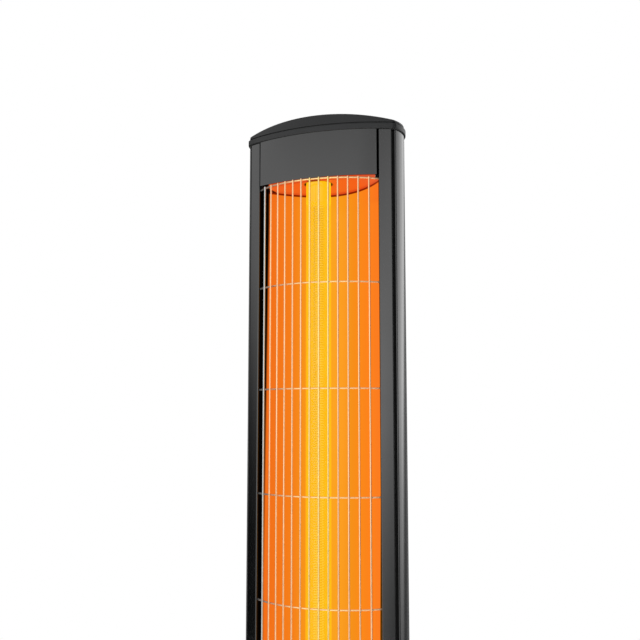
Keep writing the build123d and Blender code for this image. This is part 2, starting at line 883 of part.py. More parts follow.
def coil_tails():
    """Straight end wires between the coil and the plugs."""
    x = coil_radius
    low = rod(coil_wire_radius, x, tube_y, tube_bottom + plug_depth, tube_bottom + coil_end_gap - 1)
    high = rod(coil_wire_radius, x, tube_y, tube_top - coil_end_gap + 1, tube_top - plug_depth)
    return [low, high]


def tube_holder(z_plate, direction):
    """Clip round the tube's plug, open at the front, with two tabs that lie on the end plate."""
    inner = tube_hole_radius + 0.2
    outer = inner + holder_ring_wall
    z0 = min(z_plate, z_plate + direction * (plug_flange + tube_past_plate))
    z1 = max(z_plate, z_plate + direction * (plug_flange + tube_past_plate))
    front = disc(fold_radius - plate_fold - holder_front_gap, 0, front_centre_y)
    ring = prism(disc(outer, 0, tube_y) & front, z0, z1)
    tab_z0 = min(z_plate, z_plate + direction * 1.5)
    tabs = prism(block(-outer - holder_tab, outer + holder_tab, tube_y - 4, tube_y + 6),
                 tab_z0, tab_z0 + 1.5)
    holder = ring + tabs - rod(tube_radius + 0.15, 0, tube_y, z0 - 1, z1 + 1)
    for x in (-outer - holder_tab / 2, outer + holder_tab / 2):
        holder -= rod(small_screw_radius + 0.2, x, tube_y + 1, z0 - 1, z1 + 1)
    return holder


def tube_holders():
    low = tube_holder(plate_low_z - end_plate_thickness, -1)
    high = tube_holder(plate_high_z + end_plate_thickness, 1)
    return [low, high]


# ---------------------------------------------------------------- base

def bolt_points():
    """Centres of the four base bolts."""
    return [(x, y) for x in (-bolt_x, bolt_x) for y in (bolt_front_y, bolt_back_y)]


def revolve_profile(points):
    """Solid of revolution about Z from an x, z outline."""
    face = make_face(points)
    return revolve(face, axis=Axis.Z)


def base_cover():
    """Low dome over the weight, with bosses that stand on it."""
    rim_top = weight_bottom + cover_rim
    middle_r = (base_radius + cover_flat_radius) / 2 + 5
    middle_z = rim_top + (cover_top - rim_top) * 0.66

    def dome(inset):
        r_out = base_radius - inset
        z_top = cover_top - inset
        return [
            Line((0, 0, weight_bottom - 0.5), (r_out, 0, weight_bottom - 0.5)),
            Line((r_out, 0, weight_bottom - 0.5), (r_out, 0, rim_top)),
            ThreePointArc((r_out, 0, rim_top), (middle_r - inset / 2, 0, middle_z - inset),
                          (cover_flat_radius, 0, z_top)),
            Line((cover_flat_radius, 0, z_top), (0, 0, z_top)),
            Line((0, 0, z_top), (0, 0, weight_bottom - 0.5)),
        ]

    cover = revolve_profile(dome(0)) - revolve_profile(dome(cover_wall))
    for x, y in bolt_points():
        cover += rod(bolt_radius + boss_wall, x, y, weight_top, cover_top - cover_wall / 2)
    for x, y in bolt_points():
        cover -= rod(bolt_radius + bolt_clearance, x, y, weight_top - 1, cover_top + 1)
    return cover


def base_weight():
    """Steel disc that keeps the tower upright."""
    plate = rod(weight_radius, 0, 0, weight_bottom, weight_top)
    plate = chamfer(plate.edges().filter_by(GeomType.CIRCLE), 0.8)
    for x, y in bolt_points():
        plate -= rod(bolt_radius + bolt_clearance, x, y, weight_bottom - 1, weight_top + 1)
    return plate - rod(plunger_radius + plunger_hole_gap, tip_x, tip_y, weight_bottom - 1, weight_top + 1)


def rubber_feet():
    feet = []
    for i in range(foot_count):
        angle = math.radians(90 + i * 360 / foot_count)
        foot = rod(foot_radius, foot_circle * math.cos(angle), foot_circle * math.sin(angle),
                   0, foot_height)
        feet.append(chamfer(foot.edges().group_by(Axis.Z)[0], 0.7))
    return feet


def base_collar():
    """Oval socket that the body stands in."""
    collar = prism(body_section(-collar_outset, collar_corner), collar_bottom, collar_top)
    collar = fillet(collar.edges().group_by(Axis.Z)[-1], 2.0)
    collar -= prism(body_section(-collar_clearance), collar_seat, collar_top + 1)
    well = prism(body_section(collar_ledge), collar_bottom + collar_floor, collar_seat)
    for x, y in bolt_points():
        well -= rod(bolt_radius + boss_wall, x, y, collar_bottom + collar_floor, collar_seat)
    collar -= well
    for x, y in screw_points():
        collar -= rod(screw_head_radius + head_clearance, x, y, collar_bottom + collar_floor,
                      collar_seat + 1)
    for x, y in bolt_points():
        collar -= rod(bolt_radius + bolt_clearance, x, y, collar_bottom - 1, collar_seat + 1)
    return collar


def base_bolts():
    """Bolts from under the weight up into the bottom bulkhead's nuts."""
    top = body_bottom + nut_height + 1
    bolts = []
    for x, y in bolt_points():
        shank = rod(bolt_radius, x, y, weight_bottom, top)
        head = rod(bolt_head_radius, x, y, weight_bottom - bolt_head, weight_bottom)
        socket = prism(Pos(x, y) * RegularPolygon(2.6, 6), weight_bottom - bolt_head,
                       weight_bottom - bolt_head / 3)
        bolts.append(shank + head - socket)
    return bolts


def base_nuts():
    nuts = []
    for x, y in bolt_points():
        nut = prism(Pos(x, y) * RegularPolygon(nut_across / 2, 6, major_radius=False),
                    body_bottom, body_bottom + nut_height)
        nuts.append(nut - rod(bolt_radius + 0.05, x, y, body_bottom - 1, body_bottom + nut_height + 1))
    return nuts


# ---------------------------------------------------------------- controls

def key(z):
    """Round key whose face follows the fascia, with a collar and a stem behind."""
    inner_face = front_arc_y(0, fascia_wall - fascia_proud) + 0.25
    collar_front = inner_face + key_rest_gap
    stem_end = board_y - switch_height - key_travel - 0.1
    face = bar_along_y(key_radius, 0, z, front_y - 10, collar_front)
    face &= prism(disc(front_radius + fascia_proud + key_proud, 0, front_centre_y),
                  z - key_radius - 1, z + key_radius + 1)
    collar = bar_along_y(key_collar_radius, 0, z, collar_front, collar_front + key_collar)
    stem = bar_along_y(key_stem_radius, 0, z, collar_front + key_collar, stem_end)
    return face + collar + stem


def key_minus():
    return key(key_levels()[0])


def key_plus():
    return key(key_levels()[1])


def key_power():
    return key(key_levels()[2])


def receiver_lens():
    """Dark window, flush in the fascia, with a lip behind."""
    z = lens_z()
    front = prism(disc(front_radius + fascia_proud, 0, front_centre_y),
                  z - lens_height, z + lens_height)
    inner = front_arc_y(lens_width / 2 + lens_lip, fascia_wall - fascia_proud)
    pane = brick(-lens_width / 2, lens_width / 2, front_y - 10, inner,
                 z - lens_height / 2, z + lens_height / 2) & front
    lip = brick(-lens_width / 2 - lens_lip, lens_width / 2 + lens_lip, inner, inner + lens_lip,
                z - lens_height / 2 - lens_lip, z + lens_height / 2 + lens_lip)
    return pane + lip


def control_board():
    low = body_bottom + board_rise
    board = brick(-board_width / 2, board_width / 2, board_y, board_y + board_thickness,
                  low, low + board_height)
    for x, z in board_corners():
        board -= bar_along_y(small_screw_radius + 0.2, x, z, board_y - 1, board_y + board_thickness + 1)
    return board


def key_switches():
    """Small switches on the board, one behind each key."""
    half = switch_size / 2
    return [brick(-half, half, board_y - switch_height, board_y, z - half, z + half)
            for z in key_levels()]


def board_screws():
    screws = []
    back = board_y + board_thickness
    for x, z in board_corners():
        shank = bar_along_y(small_screw_radius - 0.15, x, z, board_y - 4, back)
        head = bar_along_y(small_screw_head_radius, x, z, back, back + small_screw_head)
        screws.append(shank + head)
    return screws


def heat_sink():
    """Finned block on the back of the control board."""
    y0 = board_y + board_thickness
    z0 = body_bottom + sink_rise
    sink = brick(-sink_width / 2, sink_width / 2, y0, y0 + sink_base, z0, z0 + sink_height)
    step = (sink_width - sink_fin) / (sink_fins - 1)
    for i in range(sink_fins):
        x = -sink_width / 2 + i * step
        sink += brick(x, x + sink_fin, y0, y0 + sink_depth, z0, z0 + sink_height)
    return sink


# ---------------------------------------------------------------- rocker switch and gland

def rocker_z():
    return body_bottom + rocker_rise


def rocker_y():
    return back_y - rocker_pivot_inset


def gland_z():
    return body_bottom + gland_rise


def rocker_housing():
    """Snap-in switch body with a bezel outside the shell and a round pocket for the rocker."""
    w = rocker_body_width / 2
    h = rocker_body_height / 2
    z = rocker_z()
    body = brick(-w, w, back_y - rocker_body_depth, back_y, z - h, z + h)
    bezel = brick(-w - rocker_bezel_border, w + rocker_bezel_border, back_y, back_y + rocker_bezel,
                  z - h - rocker_bezel_border, z + h + rocker_bezel_border)
    bezel = fillet(bezel.edges().filter_by(Axis.Y), 1.5)
    bezel = chamfer(bezel.faces().sort_by(Axis.Y)[-1].edges(), 0.5)
    pocket_half = rocker_width / 2 + rocker_gap
    pocket = bar_along_x(rocker_end_radius + rocker_gap, rocker_y(), z, -pocket_half, pocket_half)
    pins = bar_along_x(rocker_pin_radius + rocker_pin_gap, rocker_y(), z,
                       -pocket_half - rocker_pin_length, pocket_half + rocker_pin_length)
    return body + bezel - pocket - pins


def power_rocker():
    """Rocker with a hollow face, tilted to its off position, on two pins."""
    y = 0.0
    top_y = rocker_end_rise
    low_y = -rocker_floor
    r = rocker_end_radius
    z_top = math.sqrt(r * r - top_y * top_y)
    z_low = math.sqrt(r * r - low_y * low_y)
    outline = [
        ThreePointArc((0, top_y, z_top), (0, top_y - rocker_hollow, 0), (0, top_y, -z_top)),
        ThreePointArc((0, top_y, -z_top), (0, y, -r), (0, low_y, -z_low)),
        Line((0, low_y, -z_low), (0, low_y, z_low)),
        ThreePointArc((0, low_y, z_low), (0, y, r), (0, top_y, z_top)),
    ]
    face = make_face(outline)
    rocker = extrude(face, amount=rocker_width / 2, dir=(1, 0, 0), both=True)
    pin_end = rocker_width / 2 + rocker_gap + rocker_pin_length - 0.1
    rocker += bar_along_x(rocker_pin_radius, 0, 0, -pin_end, pin_end)
    return Pos(0, rocker_y(), rocker_z()) * Rot(-rocker_tilt, 0, 0) * rocker


def cable_gland():
    """Inlet for the supply cord: flange, nose and inner thread, bored through."""
    z = gland_z()
    gland = bar_along_y(gland_radius, 0, z, back_y - gland_inside, back_y + 1)
    gland += bar_along_y(gland_flange_radius, 0, z, back_y, back_y + gland_flange)
    nose_start = back_y + gland_flange
    nose = Pos(0, nose_start + gland_nose / 2, z) * Rot(-90, 0, 0) * Cone(
        gland_radius, gland_bore_radius + 1.4, gland_nose)
    gland += nose
    return gland - bar_along_y(gland_bore_radius, 0, z, back_y - gland_inside - 1,
                               nose_start + gland_nose + 1)


def gland_nut():
    """Nut that clamps the gland from inside."""
    z = gland_z()
    front = back_y - shell_wall - 0.3
    plane = Plane(origin=(0, front, z), x_dir=(1, 0, 0), z_dir=(0, -1, 0))
    nut = extrude(plane * RegularPolygon(gland_flange_radius, 6), amount=gland_nut_thickness)
    return nut - bar_along_y(gland_radius + 0.05, 0, z, front - 20, front + 5)


# ---------------------------------------------------------------- wiring

def terminal_top():
    return body_bottom + terminal_height


def terminal_block():
    """Ceramic block with a row of terminal holes."""
    w = terminal_width / 2
    d = terminal_depth / 2
    block_solid = brick(-w, w, terminal_y - d, terminal_y + d, body_bottom, terminal_top())
    step = terminal_width / terminal_ways
    for i in range(terminal_ways):
        x = -w + (i + 0.5) * step
        block_solid -= rod(lead_radius + 0.05, x, terminal_y, terminal_top() - 5, terminal_top() + 1)
        block_solid -= bar_along_y(1.8, x, terminal_top() - 7.5, terminal_y - d - 1, terminal_y - d + 2)
    return block_solid


def terminal_x(way):
    """Centre of one way of the terminal block, counted from the left."""
    return -terminal_width / 2 + (way + 0.5) * terminal_width / terminal_ways


def lead(points, radius, bend):
    """Round lead along straight runs joined by arcs."""
    path = FilletPolyline(*points, radius=bend)
    section = Plane(origin=path @ 0, z_dir=path % 0) * Circle(radius)
    return sweep(section, path=path)


def lead_y():
    """Depth at which the upper lead runs down behind the reflector."""
    return reflector_back_y + sheet + lead_reflector_gap + lead_radius


def upper_lead():
    """From the upper plug over the trough, down its back to the terminal block."""
    stud_end = tube_top + plug_flange + stud_length
    high = stud_end + 14
    low = plate_low_z - 40
    points = [(0, tube_y, stud_end), (0, tube_y, high), (0, lead_y(), high), (0, lead_y(), low),
              (terminal_x(2), terminal_y, terminal_top() + 24), (terminal_x(2), terminal_y, terminal_top() - 4)]
    return lead(points, lead_radius, lead_bend)


def lower_lead():
    """From the lower plug to the terminal block."""
    stud_end = tube_bottom - plug_flange - stud_length
    points = [(0, tube_y, stud_end), (0, tube_y, stud_end - 12),
              (terminal_x(1), terminal_y, terminal_top() + 60), (terminal_x(1), terminal_y, terminal_top() - 4)]
    return lead(points, lead_radius, 6.0)


def switch_leads():
    """Two leads from the rocker switch to the outer ways of the terminal block."""
    start_y = back_y - rocker_body_depth
    leads = []
    for side, way in ((-1, 0), (1, 3)):
        x = side * 5.0
        points = [(x, start_y, rocker_z()), (x, start_y - 12, rocker_z()),
                  (terminal_x(way), terminal_y, terminal_top() + 22),
                  (terminal_x(way), terminal_y, terminal_top() - 4)]
        leads.append(lead(points, lead_radius, 5.0))
    return leads


def lead_clips():
    """Saddles on the back of the reflector that hold the upper lead."""
    step = (plate_high_z - plate_low_z) / clip_count
    y0 = reflector_back_y + sheet
    clips = []
    for i in range(clip_count):
        z = plate_low_z + (i + 0.5) * step
        deep = lead_reflector_gap + 2 * lead_radius + 0.3 + clip_wall
        clip = brick(-clip_width / 2, clip_width / 2, y0, y0 + deep, z - clip_height / 2, z + clip_height / 2)
        channel = brick(-lead_radius - 0.2, lead_radius + 0.2, y0 - 1, y0 + deep - clip_wall,
                        z - clip_height, z + clip_height)
        clips.append(clip - channel)
    return clips


def thermal_cutout():
    """Bimetal cut-out under the lower end plate, with two tabs."""
    z_top = plate_low_z - end_plate_thickness
    can = rod(cutout_radius, cutout_x, cutout_y, z_top - cutout_height, z_top)
    flange = prism(Pos(cutout_x, cutout_y) * SlotOverall(cutout_radius * 3, cutout_radius), z_top - 1, z_top)
    tabs = [brick(cutout_x + s - 0.4, cutout_x + s + 0.4, cutout_y - 3, cutout_y + 3,
                  z_top - cutout_height - 7, z_top - cutout_height) for s in (-3.5, 3.5)]
    return can + flange + tabs[0] + tabs[1]


# ---------------------------------------------------------------- tip-over switch

def plunger_top():
    return weight_top + plunger_travel + plunger_collar + 2.0


def tip_switch_housing():
    """Switch box on the weight, bored for the plunger and its collar."""
    half = tip_housing_width / 2
    box = brick(tip_x - half, tip_x + half, tip_y - half, tip_y + half, weight_top,
                weight_top + tip_housing_height)
    box = fillet(box.edges().filter_by(Axis.Z), 2.0)
    bore = rod(plunger_radius + plunger_gap, tip_x, tip_y, weight_top - 1, weight_top + 2)
    chamber = rod(plunger_collar_radius + 0.3, tip_x, tip_y, weight_top + 1.2, plunger_top() + 0.4)
    return box - bore - chamber


def tip_plunger():
    """Plunger pressed in by the floor; it drops by its travel when the tower is lifted."""
    top = plunger_top()
    stem = rod(plunger_radius, tip_x, tip_y, 0, top)
    stem = chamfer(stem.edges().group_by(Axis.Z)[0], 0.6)
    return stem + rod(plunger_collar_radius, tip_x, tip_y, top - plunger_collar, top)


# ---------------------------------------------------------------- all pieces

def all_pieces():
    """Every node of the tower: one solid, or a group of like solids."""
    post = right_post()
    seal = right_seal()
    return {
        "top_cap": top_cap(),
        "cap_screws": cap_screws(),
        "top_bulkhead": top_bulkhead(),
        "bottom_bulkhead": bottom_bulkhead(),
        "end_screws": end_screws(),
        "right_post": post,
        "left_post": mirrored(post),
        "right_seal": seal,
        "left_seal": mirrored(seal),
        "rear_shell": rear_shell(),
        "top_fascia": top_fascia(),
        "control_fascia": control_fascia(),
        "fascia_screws": fascia_screws(),
        "reflector": reflector(),
        "reflector_top_plate": reflector_top_plate(),
        "reflector_bottom_plate": reflector_bottom_plate(),
        "reflector_rivets": reflector_rivets(),
        "guard_crosswires": guard_crosswires(),
        "guard_uprights": guard_uprights(),
        "quartz_tube": quartz_tube(),
        "heating_coil": heating_coil(),
        "coil_tails": coil_tails(),
        "tube_plugs": tube_plugs(),
        "tube_holders": tube_holders(),
        "thermal_cutout": thermal_cutout(),
        "upper_lead": upper_lead(),
        "lower_lead": lower_lead(),
        "switch_leads": switch_leads(),
        "lead_clips": lead_clips(),
        "terminal_block": terminal_block(),
        "control_board": control_board(),
        "board_screws": board_screws(),
        "key_switches": key_switches(),
        "heat_sink": heat_sink(),
        "receiver_lens": receiver_lens(),
        "key_power": key_power(),
        "key_plus": key_plus(),
        "key_minus": key_minus(),
        "rocker_housing": rocker_housing(),
        "power_rocker": power_rocker(),
        "cable_gland": cable_gland(),
        "gland_nut": gland_nut(),
        "base_collar": base_collar(),
        "base_cover": base_cover(),
        "base_weight": base_weight(),
        "base_bolts": base_bolts(),
        "base_nuts": base_nuts(),
        "rubber_feet": rubber_feet(),
        "tip_switch_housing": tip_switch_housing(),
        "tip_plunger": tip_plunger(),
    }


os.makedirs("parts", exist_ok=True)
for name, piece in all_pieces().items():
    solids = piece if isinstance(piece, list) else [piece]
    shape = Compound(children=solids) if len(solids) > 1 else solids[0]
    export_step(shape, f"parts/{name}.step")
    print(name, "solids", len(shape.solids()), "volume", round(shape.volume, 1))
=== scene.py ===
# %% [markdown]
# # Dressing a heater tower for a studio photograph
# The tower's parts come ready modelled, at their real size and in metres. This lesson
# gives every part a finish, adds the few pieces that are too fine for the solid model,
# and sets up a camera, a floor and soft light.

# %% Load the tower
import math

import bmesh
import bpy
from mathutils import Matrix, Vector


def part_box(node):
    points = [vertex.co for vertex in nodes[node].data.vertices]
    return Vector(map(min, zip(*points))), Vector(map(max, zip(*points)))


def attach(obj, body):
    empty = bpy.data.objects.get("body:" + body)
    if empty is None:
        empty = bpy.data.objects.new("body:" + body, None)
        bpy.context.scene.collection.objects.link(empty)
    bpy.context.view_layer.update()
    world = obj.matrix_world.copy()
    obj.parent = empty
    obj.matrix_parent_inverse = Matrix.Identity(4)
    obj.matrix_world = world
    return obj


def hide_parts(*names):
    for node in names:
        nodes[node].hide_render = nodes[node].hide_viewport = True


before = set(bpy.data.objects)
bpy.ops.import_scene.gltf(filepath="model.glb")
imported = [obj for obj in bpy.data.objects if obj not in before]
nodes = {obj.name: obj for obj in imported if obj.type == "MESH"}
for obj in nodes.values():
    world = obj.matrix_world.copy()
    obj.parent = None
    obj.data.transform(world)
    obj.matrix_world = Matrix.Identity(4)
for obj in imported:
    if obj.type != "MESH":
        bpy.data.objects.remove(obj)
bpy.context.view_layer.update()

MM = 0.001

# %% [markdown]
# ## Colours and shader nodes
# Colours are written as sRGB hex, but a shader works in linear light, so one
# function turns one into the other. A second function adds a shader node with its
# settings and links in one line, which keeps each finish short enough to read as a
# recipe. Pattern sizes are thought of in millimetres, so a third turns such a size
# into the scale that a texture node wants.

# %% Colour, node and scale helpers
def colour(hex_code):
    """Linear red, green, blue and alpha for an sRGB hex code."""
    parts = [int(hex_code[i:i + 2], 16) / 255 for i in (1, 3, 5)]
    linear = [p / 12.92 if p <= 0.04045 else ((p + 0.055) / 1.055) ** 2.4 for p in parts]
    return linear + [1.0]


def add(tree, kind, settings=None, stops=(), **inputs):
    """Add a shader node. Settings are its options, stops a colour ramp's places and colours.

    Inputs are values or sockets, under the socket's name, or under i and its number where
    several sockets share a name.
    """
    made = tree.nodes.new(kind)
    for option, value in (settings or {}).items():
        setattr(made, option, value)
    for _ in stops[2:]:
        made.color_ramp.elements.new(0.5)
    for place, (position, shade) in enumerate(stops):
        element = made.color_ramp.elements[place]
        element.position = position
        element.color = colour(shade) if isinstance(shade, str) else (*shade, 1)
    for name, value in inputs.items():
        socket = made.inputs[int(name[1:])] if name[0] == "i" and name[1:].isdigit() \
            else made.inputs[name.replace("_", " ")]
        if isinstance(value, bpy.types.NodeSocket):
            tree.links.new(value, socket)
        else:
            socket.default_value = value
    return made


def per_metre(size_mm):
    """Texture scale for features about this many millimetres across."""
    return 1000.0 / size_mm


def new_material(name):
    """A material with nothing but its output node, and its node tree."""
    made = bpy.data.materials.new(name)
    made.use_nodes = True
    made.node_tree.nodes.clear()
    add(made.node_tree, "ShaderNodeOutputMaterial")
    print("finish:", name)
    return made, made.node_tree


def show(tree, shader):
    """Send a shader to the material's output."""
    tree.links.new(shader, tree.nodes["Material Output"].inputs["Surface"])


# %% [markdown]
# ## Helpers that several finishes share
# Nearly every made surface has a fine unevenness: the orange peel of powder coat, the
# spark-eroded grain of a mould, the drawn lines of wire. Each is a noise texture read
# on the part's own coordinates and fed to a bump node. The same noise at a larger size
# varies the roughness a little, so that highlights break up as they do on a real part,
# and lets a colour drift between two near shades. The last two helpers tell how far a
# point lies along an axis, for finishes that change from side to side.

# %% Surface grain
noise_low, noise_high = 0.3, 0.7        # a noise texture seldom leaves this range


def object_place(tree, stretch=(1, 1, 1)):
    """The part's own coordinates, optionally squeezed along an axis to draw a grain out."""
    place = add(tree, "ShaderNodeTexCoord").outputs["Object"]
    if stretch == (1, 1, 1):
        return place
    return add(tree, "ShaderNodeMapping", Vector=place, Scale=stretch).outputs["Vector"]


def grain(tree, size_mm, height_mm, strength, stretch=(1, 1, 1)):
    """A bump of the given grain size and height."""
    noise = add(tree, "ShaderNodeTexNoise", Vector=object_place(tree, stretch),
                Scale=per_metre(size_mm), Detail=3.0, Roughness=0.55)
    return add(tree, "ShaderNodeBump", Height=noise.outputs["Fac"], Strength=strength,
               Distance=height_mm * MM).outputs["Normal"]


def vary(tree, size_mm, low, high, stretch=(1, 1, 1)):
    """A number that wanders between low and high over patches of the given size."""
    noise = add(tree, "ShaderNodeTexNoise", Vector=object_place(tree, stretch),
                Scale=per_metre(size_mm), Detail=2.0)
    return add(tree, "ShaderNodeMapRange", i0=noise.outputs["Fac"], i1=noise_low, i2=noise_high,
               i3=low, i4=high).outputs[0]


def blotch(tree, size_mm, first, second):
    """A colour that drifts between two near shades."""
    noise = add(tree, "ShaderNodeTexNoise", Vector=object_place(tree),
                Scale=per_metre(size_mm), Detail=3.0)
    return add(tree, "ShaderNodeValToRGB", stops=[(noise_low, first), (noise_high, second)],
               Fac=noise.outputs["Fac"]).outputs["Color"]


def axis_share(tree, axis, low_mm, high_mm):
    """How far a point lies from low to high along one of the part's axes, 0 to 1."""
    axes = add(tree, "ShaderNodeSeparateXYZ", Vector=object_place(tree))
    return add(tree, "ShaderNodeMapRange", i0=axes.outputs[axis], i1=low_mm * MM,
               i2=high_mm * MM).outputs[0]


def colours_across(tree, half_mm, pairs):
    """A colour given by the distance from the middle plane in mm, left negative."""
    return add(tree, "ShaderNodeValToRGB", Fac=axis_share(tree, "X", -half_mm, half_mm),
               stops=[((x + half_mm) / (2 * half_mm), shade)
                      for x, shade in pairs]).outputs["Color"]


# %% [markdown]
# ## Powder-coated aluminium
# The posts, the shell and the fascias are extruded or rolled aluminium with a charcoal
# satin powder coat. The coat is a thick paint, so it hides the metal: it is shaded as
# a plastic-like surface with no metallic value. Most of its grey is the room mirrored
# in the satin, which is why the same paint looks pale where it faces a bright panel
# and nearly black where it faces a dark corner: the paint itself is very dark. Its skin
# has a faint orange peel about 1.5 mm across, which softens the long reflections.
#
# Inside the opening the posts get painted shade: they are painted matt black, so that
# they do not show as bright strips beside the glow, and so are the ends of the fascias
# behind their gaps. The mask is the distance from the middle plane. A black metal
# mirrors almost nothing, so the mask also drives the metallic value, and the gloss
# stays one number.

# %% Powder coat
coat_dark, coat_pale, painted_shade_black = "#08090a", "#0a0b0b", "#0a0a0a"
coat_smooth, coat_rough, painted_shade_rough = 0.15, 0.18, 0.85
peel_mm = 1.5


def satin_coat(name, comparison, distance_mm):
    """Charcoal satin coat, painted matt black as painted shade where the distance from the middle
    plane compares true.
    """
    made, tree = new_material(name)
    axes = add(tree, "ShaderNodeSeparateXYZ", Vector=object_place(tree))
    across = add(tree, "ShaderNodeMath", {"operation": "ABSOLUTE"}, i0=axes.outputs["X"])
    # painted shade: where this is true the coat is painted matt black in place of shade
    black = add(tree, "ShaderNodeMath", {"operation": comparison},
                i0=across.outputs[0], i1=distance_mm * MM)
    paint = add(tree, "ShaderNodeMixRGB", Fac=black.outputs[0],
                Color1=blotch(tree, 90, coat_dark, coat_pale), Color2=colour(painted_shade_black))
    dull = add(tree, "ShaderNodeMapRange", i0=black.outputs[0],
               i3=vary(tree, 40, coat_smooth, coat_rough), i4=painted_shade_rough)
    show(tree, add(tree, "ShaderNodeBsdfPrincipled", Base_Color=paint.outputs[0],
                   Roughness=dull.outputs[0], Metallic=black.outputs[0], Specular_IOR_Level=1.0,
                   Normal=grain(tree, peel_mm, 0.05, 0.18), IOR=1.5).outputs[0])
    return made


# the posts' inner sides and the fascias' ends get the painted shade
post_inner_mm, fascia_edge_mm = 74.72, 73.15
post_coat = satin_coat("satin_powder_coat_posts", "LESS_THAN", post_inner_mm)
fascia_coat = satin_coat("satin_powder_coat_fascias", "GREATER_THAN", fascia_edge_mm)

powder_coat, tree = new_material("satin_powder_coat")
show(tree, add(tree, "ShaderNodeBsdfPrincipled",
               Base_Color=blotch(tree, 90, coat_dark, coat_pale),
               Roughness=vary(tree, 40, coat_smooth, coat_rough), Specular_IOR_Level=1.0,
               Normal=grain(tree, peel_mm, 0.05, 0.18), IOR=1.5).outputs[0])

# %% [markdown]
# ## Moulded plastic
# The cap, the collar and the base cover are moulded in charcoal ABS, with the dull
# fine grain that spark erosion leaves in a mould. The grain is 0.4 mm across on the
# real part and is drawn at 0.8 mm, so that it shows.

# %% Grained ABS
grained_abs, tree = new_material("grained_abs")
show(tree, add(tree, "ShaderNodeBsdfPrincipled",
               Base_Color=blotch(tree, 70, "#0f1011", "#121314"),
               Roughness=vary(tree, 25, 0.44, 0.52),
               Normal=grain(tree, 0.8, 0.06, 0.30),
               IOR=1.53).outputs[0])

# %% [markdown]
# ## A reflector lit by its element
# The trough is mirror-finished aluminium, yet in use the eye sees no mirror there: it
# sees the glowing element smeared over the whole curve, yellow near the tube and a
# deep orange at the edges. Tracing that smear needs very many light paths, so it is
# painted as light given off by the sheet. Only the inner side glows, which the sign of
# the surface normal along Y tells apart, because the trough opens towards -Y.
#
# Near its long edges the sheet would mirror the black inner side of a post instead, so it
# is painted dark there: a painted reflection. On the left that dark strip widens with
# height, on the right it shows only low down. The folded seam at the trough's upper end
# is a thin dark red line of painted shade.

# %% Lit reflector sheet
trough_half_mm = 71.8
seam_low_mm, seam_high_mm = 906.4, 907.1
back_facing = 0.02         # a face whose normal has more Y than this is on the back
sheet_glow = 0.92


def lit_sheet(tree, metal, warm, glow, mask):
    """Polished metal whose front side glows in the warm colour where the mask is 1."""
    facing = add(tree, "ShaderNodeSeparateXYZ",
                 Vector=add(tree, "ShaderNodeNewGeometry").outputs["True Normal"])
    front = add(tree, "ShaderNodeMath", {"operation": "LESS_THAN"},
                i0=facing.outputs["Y"], i1=back_facing)
    lit = add(tree, "ShaderNodeMath", {"operation": "MULTIPLY"}, i0=front.outputs[0], i1=mask)
    strength = add(tree, "ShaderNodeMath", {"operation": "MULTIPLY"}, i0=lit.outputs[0], i1=glow)
    show(tree, add(tree, "ShaderNodeBsdfPrincipled", Base_Color=metal, Metallic=1.0,
                   Roughness=vary(tree, 30, 0.20, 0.27, (1, 1, 0.05)),
                   Emission_Color=warm, Emission_Strength=strength.outputs[0]).outputs[0])


lit_reflector, tree = new_material("lit_reflector_sheet")
warm = colours_across(tree, trough_half_mm,
                      [(-68, "#f4701a"), (-45, "#f7821c"), (-20, "#fbae1a"),
                       (8, "#fb9e18"), (50, "#fb821c"), (68, "#f27420")])
# painted shade: a thin dark red line at the seam between the trough and the top plate
seam = axis_share(tree, "Z", seam_low_mm, seam_high_mm)
glow_with_seam_shade = add(tree, "ShaderNodeMixRGB", Fac=seam, Color1=warm, Color2=colour("#7c1400"))

# %% Where the sheet is painted dark, mirroring the posts
# Beyond each edge the sheet is painted dark, a painted reflection of the post. Each edge
# slants: between two heights, in metres, it moves from one distance off the middle plane
# to another. It is soft over a millimetre or so.
left_heights, left_edges_mm, left_soft_mm = (0.45, 0.87), (-71.4, -68.2), (-0.6, 0.9)
right_heights, right_edges_mm, right_soft_mm = (0.40, 0.60), (68.9, 72.5), (-0.5, 0.5)

axes = add(tree, "ShaderNodeSeparateXYZ", Vector=object_place(tree))
left_edge = add(tree, "ShaderNodeMapRange", i0=axes.outputs["Z"],
                i1=left_heights[0], i2=left_heights[1],
                i3=left_edges_mm[0] * MM, i4=left_edges_mm[1] * MM)
left_in = add(tree, "ShaderNodeMath", {"operation": "SUBTRACT"},
              i0=axes.outputs["X"], i1=left_edge.outputs[0])
left_lit = add(tree, "ShaderNodeMapRange", i0=left_in.outputs[0],
               i1=left_soft_mm[0] * MM, i2=left_soft_mm[1] * MM)
right_edge = add(tree, "ShaderNodeMapRange", i0=axes.outputs["Z"],
                 i1=right_heights[0], i2=right_heights[1],
                 i3=right_edges_mm[0] * MM, i4=right_edges_mm[1] * MM)
right_in = add(tree, "ShaderNodeMath", {"operation": "SUBTRACT"},
               i0=right_edge.outputs[0], i1=axes.outputs["X"])
right_lit = add(tree, "ShaderNodeMapRange", i0=right_in.outputs[0],
                i1=right_soft_mm[0] * MM, i2=right_soft_mm[1] * MM)
both_lit = add(tree, "ShaderNodeMath", {"operation": "MULTIPLY"},
               i0=left_lit.outputs[0], i1=right_lit.outputs[0])
# the sheet's own colour is painted dark too where it mirrors the posts: a painted reflection
metal = add(tree, "ShaderNodeMixRGB", Fac=both_lit.outputs[0],
            Color1=colour("#0b0a09"), Color2=colour("#4a2c14"))
lit_sheet(tree, metal.outputs[0], glow_with_seam_shade.outputs[0], sheet_glow, both_lit.outputs[0])

